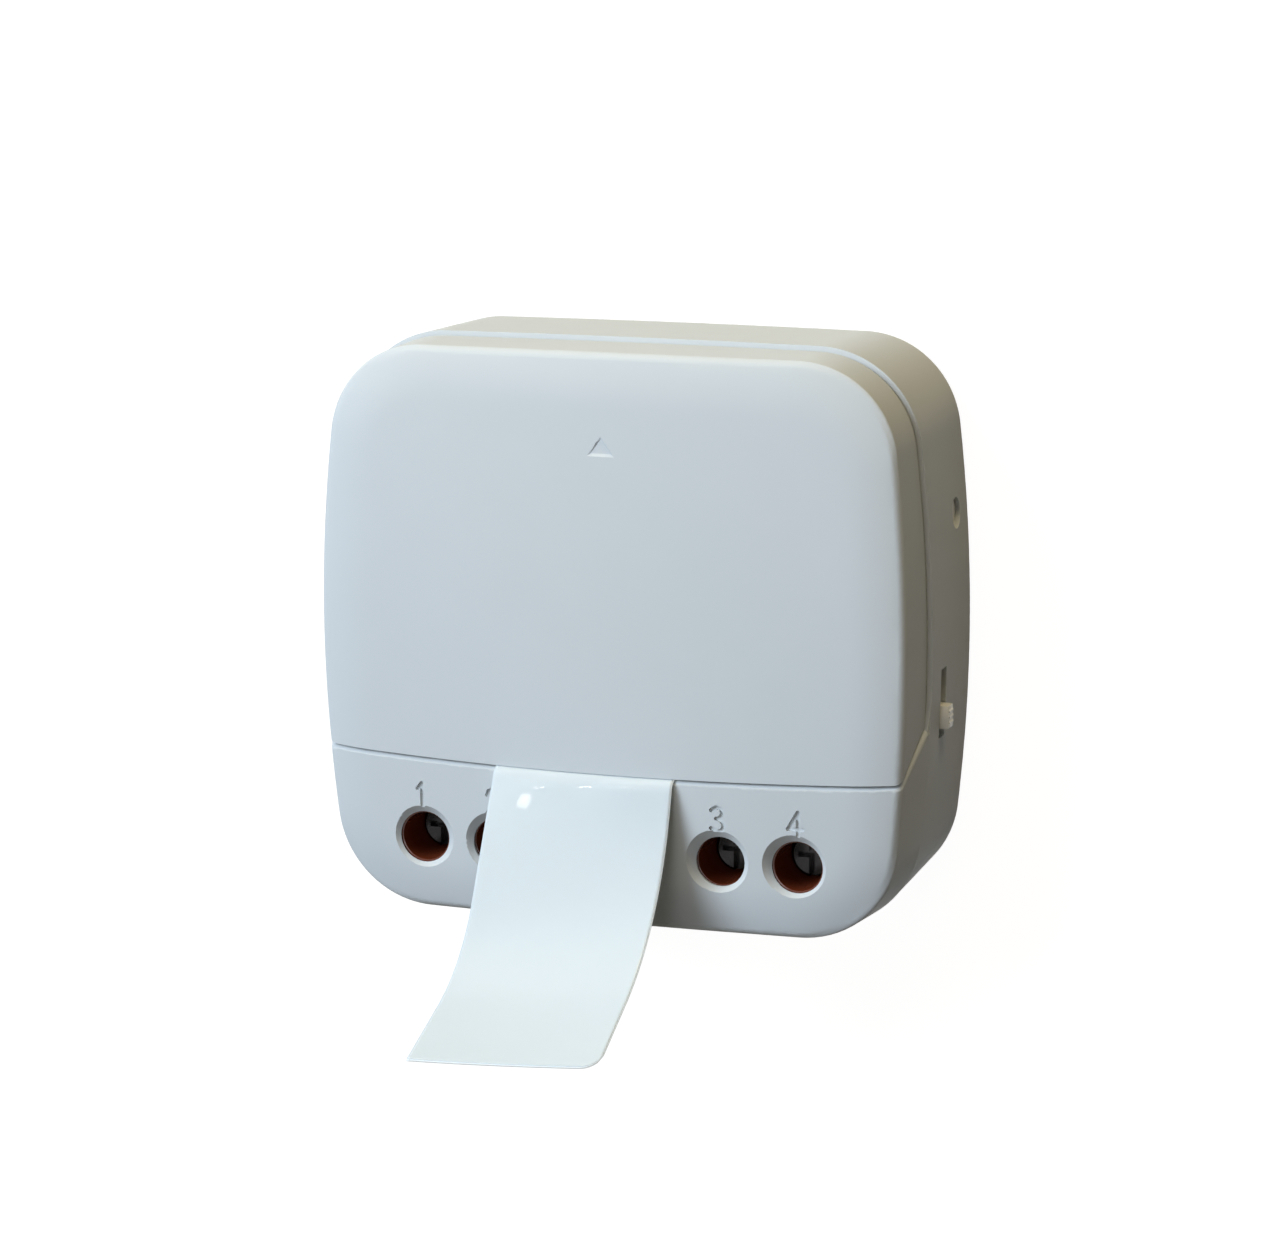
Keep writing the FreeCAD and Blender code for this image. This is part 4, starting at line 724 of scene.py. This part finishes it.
def screw_tree():
    """Screw round the Z axis: head with a bevelled rim and cross slot above a threaded shank."""
    tree, given = form_tree("screw_form", Shank_Length="Float", Place="Vector",
                            **dict.fromkeys(SCREW_SIZES, "Float"))
    here = position(tree)

    # Head: the ring at its top edge is drawn in by the bevel
    half = reckon(tree, "MULTIPLY", given["Head Height"], 0.5)
    at_top = reckon(tree, "GREATER_THAN", here["Z"], reckon(tree, "MULTIPLY", half, 0.9))
    bevel = reckon(tree, "DIVIDE", given["Head Edge"], given["Head Radius"])
    kept = reckon(tree, "SUBTRACT", 1.0, reckon(tree, "MULTIPLY", at_top, bevel))
    head = cylinder(tree, given["Head Radius"], given["Head Height"], sides=64, rings=6, caps=4)
    head = drawn_in(tree, head, here, kept, reckon(tree, "ADD", here["Z"], half))

    # Cross slot, half the head deep; its first arm runs out at both sides of the head
    through = reckon(tree, "MULTIPLY", given["Head Radius"], 2.2)
    slot, cross, reach = (reckon(tree, "MULTIPLY", given[title], 2.0)
                          for title in ("Slot Half", "Cross Half", "Cross Reach"))
    slots = [step(tree, "GeometryNodeMeshCube",
                  {"Size": point(tree, x, y, given["Head Height"])}).outputs["Mesh"]
             for x, y in ((slot, through), (reach, cross))]
    both = step(tree, "GeometryNodeMeshBoolean", {"Mesh 2": slots[0]}, operation="UNION",
                solver="EXACT")
    tree.links.new(slots[1], both.inputs["Mesh 2"])
    cutter = step(tree, "GeometryNodeTransform",
                  {"Geometry": both.outputs["Mesh"],
                   "Translation": point(tree, z=given["Head Height"])}).outputs["Geometry"]
    head = step(tree, "GeometryNodeMeshBoolean", {"Mesh 1": head, "Mesh 2": cutter},
                operation="DIFFERENCE", solver="EXACT").outputs["Mesh"]

    # Shank: a thread that climbs one pitch in a turn
    turns = reckon(tree, "DIVIDE", reckon(tree, "ARCTAN2", here["Y"], here["X"]), 2 * math.pi)
    climb = reckon(tree, "DIVIDE", here["Z"], given["Thread Pitch"])
    phase = reckon(tree, "FRACT", reckon(tree, "ADD", turns, climb))
    groove = reckon(tree, "ABSOLUTE", reckon(tree, "MULTIPLY_ADD", phase, 2.0, -1.0))
    depth = reckon(tree, "DIVIDE", given["Thread Depth"], given["Thread Radius"])
    kept = reckon(tree, "SUBTRACT", 1.0, reckon(tree, "MULTIPLY", groove, depth))
    sunk = reckon(tree, "MULTIPLY_ADD", given["Shank Length"], 0.5, -SHANK_LAP * MM)
    shank = cylinder(tree, given["Thread Radius"], given["Shank Length"], sides=48, rings=30,
                     caps=2)
    shank = drawn_in(tree, shank, here, kept, reckon(tree, "SUBTRACT", here["Z"], sunk))

    placed = step(tree, "GeometryNodeTransform",
                  {"Geometry": joined(tree, head, shank), "Translation": given["Place"]})
    return end_tree(tree, placed.outputs["Geometry"], "screw_steel")


def terminal_screws():
    """The four screws, each as long as the CAD screw that it stands for."""
    form = screw_tree()
    sizes = {title: size * MM for title, size in SCREW_SIZES.items()}
    for number in TERMINALS:
        name, node = f"screw_{number}", f"terminal_screw_{number}"
        low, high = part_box(node)
        x, y, _ = centre(node)
        mesh = grown(name, form, Place=(x, y, high[2] - HEAD_HEIGHT * MM),
                     Shank_Length=high[2] - low[2] - (HEAD_HEIGHT - SHANK_LAP) * MM, **sizes)
        smooth_by_angle(mesh, degrees=32)
        piece(name, mesh, name, "screw_steel", node)


terminal_screws()


# Mode switch knob with grip ridges across its face, which is sunk by the ridges' height
KNOB_EASE = 0.16
KNOB_FACE = 0.3
KNOB_SUNK = 0.06
RIDGES = 3
RIDGE_STEP = 0.36
RIDGE_RADIUS = 0.11
RIDGE_LENGTH = 0.84


def grip_tree():
    """Knob body with a row of round ridges along its travel."""
    tree, given = form_tree("grip_form", Body="Geometry", Ridge_Count="Int", Ridge_Step="Vector",
                            First_Ridge="Vector", Ridge_Radius="Float", Ridge_Length="Float")
    row = step(tree, "GeometryNodeMeshLine",
               {"Count": given["Ridge Count"], "Start Location": given["First Ridge"],
                "Offset": given["Ridge Step"]}).outputs["Mesh"]
    ridge = cylinder(tree, given["Ridge Radius"], given["Ridge Length"], sides=24, rings=1,
                     caps=1)
    ridges = step(tree, "GeometryNodeInstanceOnPoints", {"Points": row, "Instance": ridge})
    return end_tree(tree, joined(tree, given["Body"], ridges.outputs["Instances"]), "knob_ivory")


def knob():
    """Switch knob, its face a little below the CAD knob's, so that the ridges end there."""
    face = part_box("mode_switch_knob")[1][0]
    _, y, z = centre("mode_switch_knob")
    body = eased_mesh("mode_switch_knob", KNOB_EASE)
    for vert in body.vertices:
        if vert.co.x > face - KNOB_FACE * MM:
            vert.co.x -= KNOB_SUNK * MM
    first = (face - RIDGE_RADIUS * MM, y - RIDGE_STEP * (RIDGES - 1) / 2 * MM, z)
    mesh = grown("ridged_knob", grip_tree(), start=body, Ridge_Count=RIDGES,
                 Ridge_Step=(0, RIDGE_STEP * MM, 0), First_Ridge=first,
                 Ridge_Radius=RIDGE_RADIUS * MM, Ridge_Length=RIDGE_LENGTH * MM)
    smooth_by_angle(mesh, EASED_DEGREES)
    piece("ridged_knob", mesh, "mode_knob", "knob_ivory", "mode_switch_knob")


knob()


# Solder joints where the terminals' pins come through the board; the neck is a share of the foot
SOLDER_HEIGHT = 0.45
SOLDER_FOOT = 1.0
SOLDER_NECK = 0.38
SOLDER_HOLLOW = 2.2
PIN_INSET = 0.2


def solder_tree():
    """Hollow-sided cone of solder on every point of a mesh."""
    tree, given = form_tree("solder_form", Points="Geometry", Foot_Radius="Float",
                            Height="Float")
    here = position(tree)
    fallen = reckon(tree, "DIVIDE", here["Z"], given["Height"])
    climbed = reckon(tree, "SUBTRACT", 0.5, fallen)
    flare = reckon(tree, "POWER", reckon(tree, "SUBTRACT", 1.0, climbed), SOLDER_HOLLOW)
    waist = reckon(tree, "MULTIPLY_ADD", flare, 1 - SOLDER_NECK, SOLDER_NECK)
    cone = cylinder(tree, given["Foot Radius"], given["Height"], sides=32, rings=8, caps=2)
    cone = drawn_in(tree, cone, here, waist, here["Z"])
    joints = step(tree, "GeometryNodeInstanceOnPoints",
                  {"Points": given["Points"], "Instance": cone})
    return end_tree(tree, joints.outputs["Instances"], "switch_sheet")


def solder_joints():
    """Solder joints under the board, round the four contact bars' pins."""
    height = SOLDER_HEIGHT * MM
    board_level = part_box("circuit_board")[0][2]
    places = []
    for number in TERMINALS:
        bar = f"contact_bar_{number}"
        places.append((centre(bar)[0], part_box(bar)[1][1] - PIN_INSET * MM,
                       board_level - height / 2))
    pins = bpy.data.meshes.new("pin_places")
    pins.from_pydata(places, [], [])
    mesh = grown("solder_joints", solder_tree(), start=pins, Foot_Radius=SOLDER_FOOT * MM,
                 Height=height)
    smooth_by_angle(mesh, degrees=50)
    piece("solder_joints", mesh, "module", "switch_sheet")


solder_joints()


# Inner and moving pieces with their edges rounded, each by a width in millimetres
EASES = {"pair_button": 0.14, "pair_switch_plunger": 0.06, "pair_switch_body": 0.10,
         "mode_switch_body": 0.06, "mode_switch_shell": 0.03, "cell_can": 0.30, "cell_cap": 0.18,
         "negative_contact": 0.05, "positive_contact": 0.05, "terminal_block_left": 0.12,
         "terminal_block_right": 0.12, "radio_shield": 0.06, "radio_chip": 0.08, "crystal": 0.12,
         "chip_antenna": 0.08, "status_led": 0.10}
for number in TERMINALS:
    EASES[f"clamp_cage_{number}"] = 0.08
    EASES[f"contact_bar_{number}"] = 0.04

for node, width in EASES.items():
    piece(node + "_eased", eased_mesh(node, width), BODY_OF[node], SLOT_OF[node], node)


# Rows of small ceramic chips, each with the share of its length that is tinned at either end
CHIP_EASE = 0.06
TINNED_SHARES = {"capacitors": 0.22, "resistors": 0.25}


def tinned_chips(node, share):
    """Row of small chips whose two ends have the finish of tinned sheet."""
    low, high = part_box(node)
    finished = eased_mesh(node, CHIP_EASE)
    mesh = bmesh.new()
    mesh.from_mesh(finished)
    cap = (high[1] - low[1]) * share
    for level in (low[1] + cap, high[1] - cap):
        parts = mesh.verts[:] + mesh.edges[:] + mesh.faces[:]
        bmesh.ops.bisect_plane(mesh, geom=parts, plane_co=(0, level, 0), plane_no=(0, 1, 0))
    for face in mesh.faces:
        middle = face.calc_center_median().y
        face.material_index = int(middle < low[1] + cap or middle > high[1] - cap)
    mesh.to_mesh(finished)
    mesh.free()
    piece(node + "_ended", finished, BODY_OF[node], SLOT_OF[node], node, others=("switch_sheet",))


for node, share in TINNED_SHARES.items():
    tinned_chips(node, share)


# Case shells: copies of the CAD shells with the front's soft shoulder along the outline

# The outline at its widest, the crown of the front and the level where cover and housing part
HALF_WIDTH = 19.75
HALF_HEIGHT = 18.55
SIDE_ARC = 109.0
END_ARC = 1100.0
CORNER = 6.7
CROWN_ARC = 230.0
CROWN_TOP = 16.3199
PARTING_LEVEL = 10.7
SAME_LEVEL = 0.01
SHELL_DEGREES = 28

# Shoulder: where it starts inside the outline, its width and drop, the wall that follows it and
# the bands that the front is cut into
SHOULDER_START = 0.3
SHOULDER_WIDTH = 3.4
SHOULDER_DROP = 0.42
WALL_LEVEL = 14.2
WALL_RISE = 0.9
BANDS = 16
BAND_WIDTH = 0.4

# Front: how upright and how high its faces are, and the points that are shaded as the true dome
FRONT_UPRIGHT = 0.97
FRONT_ABOVE = 15.0
DOME_NEAR = 0.03
DOME_INSIDE = 0.8
DOME_FACES_INSIDE = 0.85
DOME_STEP = 0.01
STRONGEST_LEAD = 100

# Joint between cover and housing, and the ledge that the housing shows round the cover
JOINT_CLOSED = 0.11
LEDGE_EDGE = 0.06
LEDGE_DROP = 0.32

# Engraved triangle: where to look for its floor, the scales of floor and rim, and its depth
ARROW_SPAN = ((-1.0, 11.6), (1.0, 13.4))
ARROW_ABOVE = 15.3
ARROW_SUNK = 0.1
ARROW_FLOOR = 0.80
ARROW_RIM = 1.13
ARROW_DEPTH = 0.10


def inside_outline(x, y):
    """Distance in millimetres from a point to the widest outline, measured inwards."""
    to_side = HALF_WIDTH - y * y / (2 * SIDE_ARC) - abs(x)
    to_end = HALF_HEIGHT - x * x / (2 * END_ARC) - abs(y)
    if to_side < CORNER and to_end < CORNER:
        return CORNER - math.hypot(CORNER - to_side, CORNER - to_end)
    return min(to_side, to_end)


def shoulder_drop(x, y, rise=1.0):
    """Height in millimetres that the shoulder takes off; rise is its share part way up a wall."""
    inside = max(0.0, inside_outline(x, y) - SHOULDER_START)
    return SHOULDER_DROP * rise * max(0.0, 1 - inside / SHOULDER_WIDTH) ** 2


def front_height(x, y):
    """Height of the domed front with its shoulder, in millimetres."""
    return CROWN_TOP - (x * x + y * y) / (2 * CROWN_ARC) - shoulder_drop(x, y)


def front_normal(x, y):
    """Direction in which the domed front faces."""
    near = DOME_STEP
    slope_x = (front_height(x + near, y) - front_height(x - near, y)) / (2 * near)
    slope_y = (front_height(x, y + near) - front_height(x, y - near)) / (2 * near)
    return Vector((-slope_x, -slope_y, 1)).normalized()


def front_over(vert):
    """Height of the front over a point of a mesh, in millimetres."""
    return front_height(vert.co.x / MM, vert.co.y / MM)


def front_faces(mesh):
    """Faces of the domed front."""
    return [face for face in mesh.faces if face.normal.z > FRONT_UPRIGHT
            and all(vert.co.z > FRONT_ABOVE * MM for vert in face.verts)]


def soften_shoulder(mesh):
    """Cut the domed front into narrow bands along the outline and let them fall away softly."""
    front = front_faces(mesh)
    for axis, half in ((0, HALF_WIDTH), (1, HALF_HEIGHT)):
        for band in range(BANDS):
            for side in (-1, 1):
                place, across = Vector((0, 0, 0)), Vector((0, 0, 0))
                place[axis] = side * (half - BAND_WIDTH - BAND_WIDTH * band) * MM
                across[axis] = 1
                parts = set(front)
                parts.update(edge for face in front for edge in face.edges)
                parts.update(vert for face in front for vert in face.verts)
                bmesh.ops.bisect_plane(mesh, geom=list(parts), plane_co=place, plane_no=across)
                front = front_faces(mesh)
    for vert in mesh.verts:
        x, y, z = vert.co / MM
        if z > WALL_LEVEL:
            vert.co.z -= shoulder_drop(x, y, min(1.0, (z - WALL_LEVEL) / WALL_RISE)) * MM


def evenly_shaded(mesh, name):
    """Mesh whose larger faces lead the smoothing, its domed front shaded as the true dome."""
    helper = bpy.data.objects.new(name, mesh)
    bpy.context.scene.collection.objects.link(helper)
    lead = helper.modifiers.new("lead", "WEIGHTED_NORMAL")
    lead.mode = "FACE_AREA"
    lead.weight = STRONGEST_LEAD
    lead.keep_sharp = True
    depsgraph = bpy.context.evaluated_depsgraph_get()
    shaded = bpy.data.meshes.new_from_object(helper.evaluated_get(depsgraph))
    bpy.data.objects.remove(helper)
    normals = [Vector(corner.vector) for corner in shaded.corner_normals]
    for face in shaded.polygons:
        x, y, z = face.center / MM
        if abs(z - front_height(x, y)) >= DOME_NEAR or inside_outline(x, y) < DOME_FACES_INSIDE:
            continue
        for corner in face.loop_indices:
            x, y, z = shaded.vertices[shaded.loops[corner].vertex_index].co / MM
            if inside_outline(x, y) > DOME_INSIDE and abs(z - front_height(x, y)) < DOME_NEAR:
                normals[corner] = front_normal(x, y)
    shaded.normals_split_custom_set([tuple(normal) for normal in normals])
    return shaded


def close_joint(mesh):
    """Lower the cover's rim from its working clearance to just over the housing's ledge."""
    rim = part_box("battery_cover")[0][2]
    for vert in mesh.verts:
        if abs(vert.co.z - rim) < SAME_LEVEL * MM:
            vert.co.z -= JOINT_CLOSED * MM


def ease_ledge(mesh):
    """Let the ledge that the housing shows round the cover fall away to its outer edge."""
    for vert in mesh.verts:
        on_ledge = abs(vert.co.z - PARTING_LEVEL * MM) < SAME_LEVEL * MM
        if on_ledge and inside_outline(vert.co.x / MM, vert.co.y / MM) < LEDGE_EDGE:
            vert.co.z -= LEDGE_DROP * MM


def slope_arrow(mesh):
    """Widen the engraved triangle's rim, and raise and draw in its floor, so its sides slope."""
    low, high = ARROW_SPAN
    floor = [vert for vert in mesh.verts
             if abs(vert.co.x) < high[0] * MM and low[1] * MM < vert.co.y < high[1] * MM
             and ARROW_ABOVE * MM < vert.co.z < (front_over(vert) - ARROW_SUNK) * MM]
    rim = {corner for vert in floor for face in vert.link_faces for corner in face.verts}
    middle = sum((vert.co for vert in floor), Vector()) / len(floor)
    for verts, scale, depth in ((floor, ARROW_FLOOR, ARROW_DEPTH),
                                (rim - set(floor), ARROW_RIM, 0)):
        for vert in verts:
            vert.co.xy = middle.xy + (vert.co.xy - middle.xy) * scale
            vert.co.z = (front_over(vert) - depth) * MM


def shell_copy(node):
    """Softened and smoothed copy of a CAD shell."""
    mesh = merged(node)
    soften_shoulder(mesh)
    if node == "battery_cover":
        close_joint(mesh)
        slope_arrow(mesh)
    else:
        ease_ledge(mesh)
    shell = bpy.data.meshes.new(node + "_shell")
    mesh.to_mesh(shell)
    mesh.free()
    smooth_by_angle(shell, SHELL_DEGREES)
    return evenly_shaded(shell, node + "_helper")


piece("cover_shell", shell_copy("battery_cover"), "cover", "case_white", "battery_cover")
piece("case_shell", shell_copy("housing"), "module", "case_white", "housing")
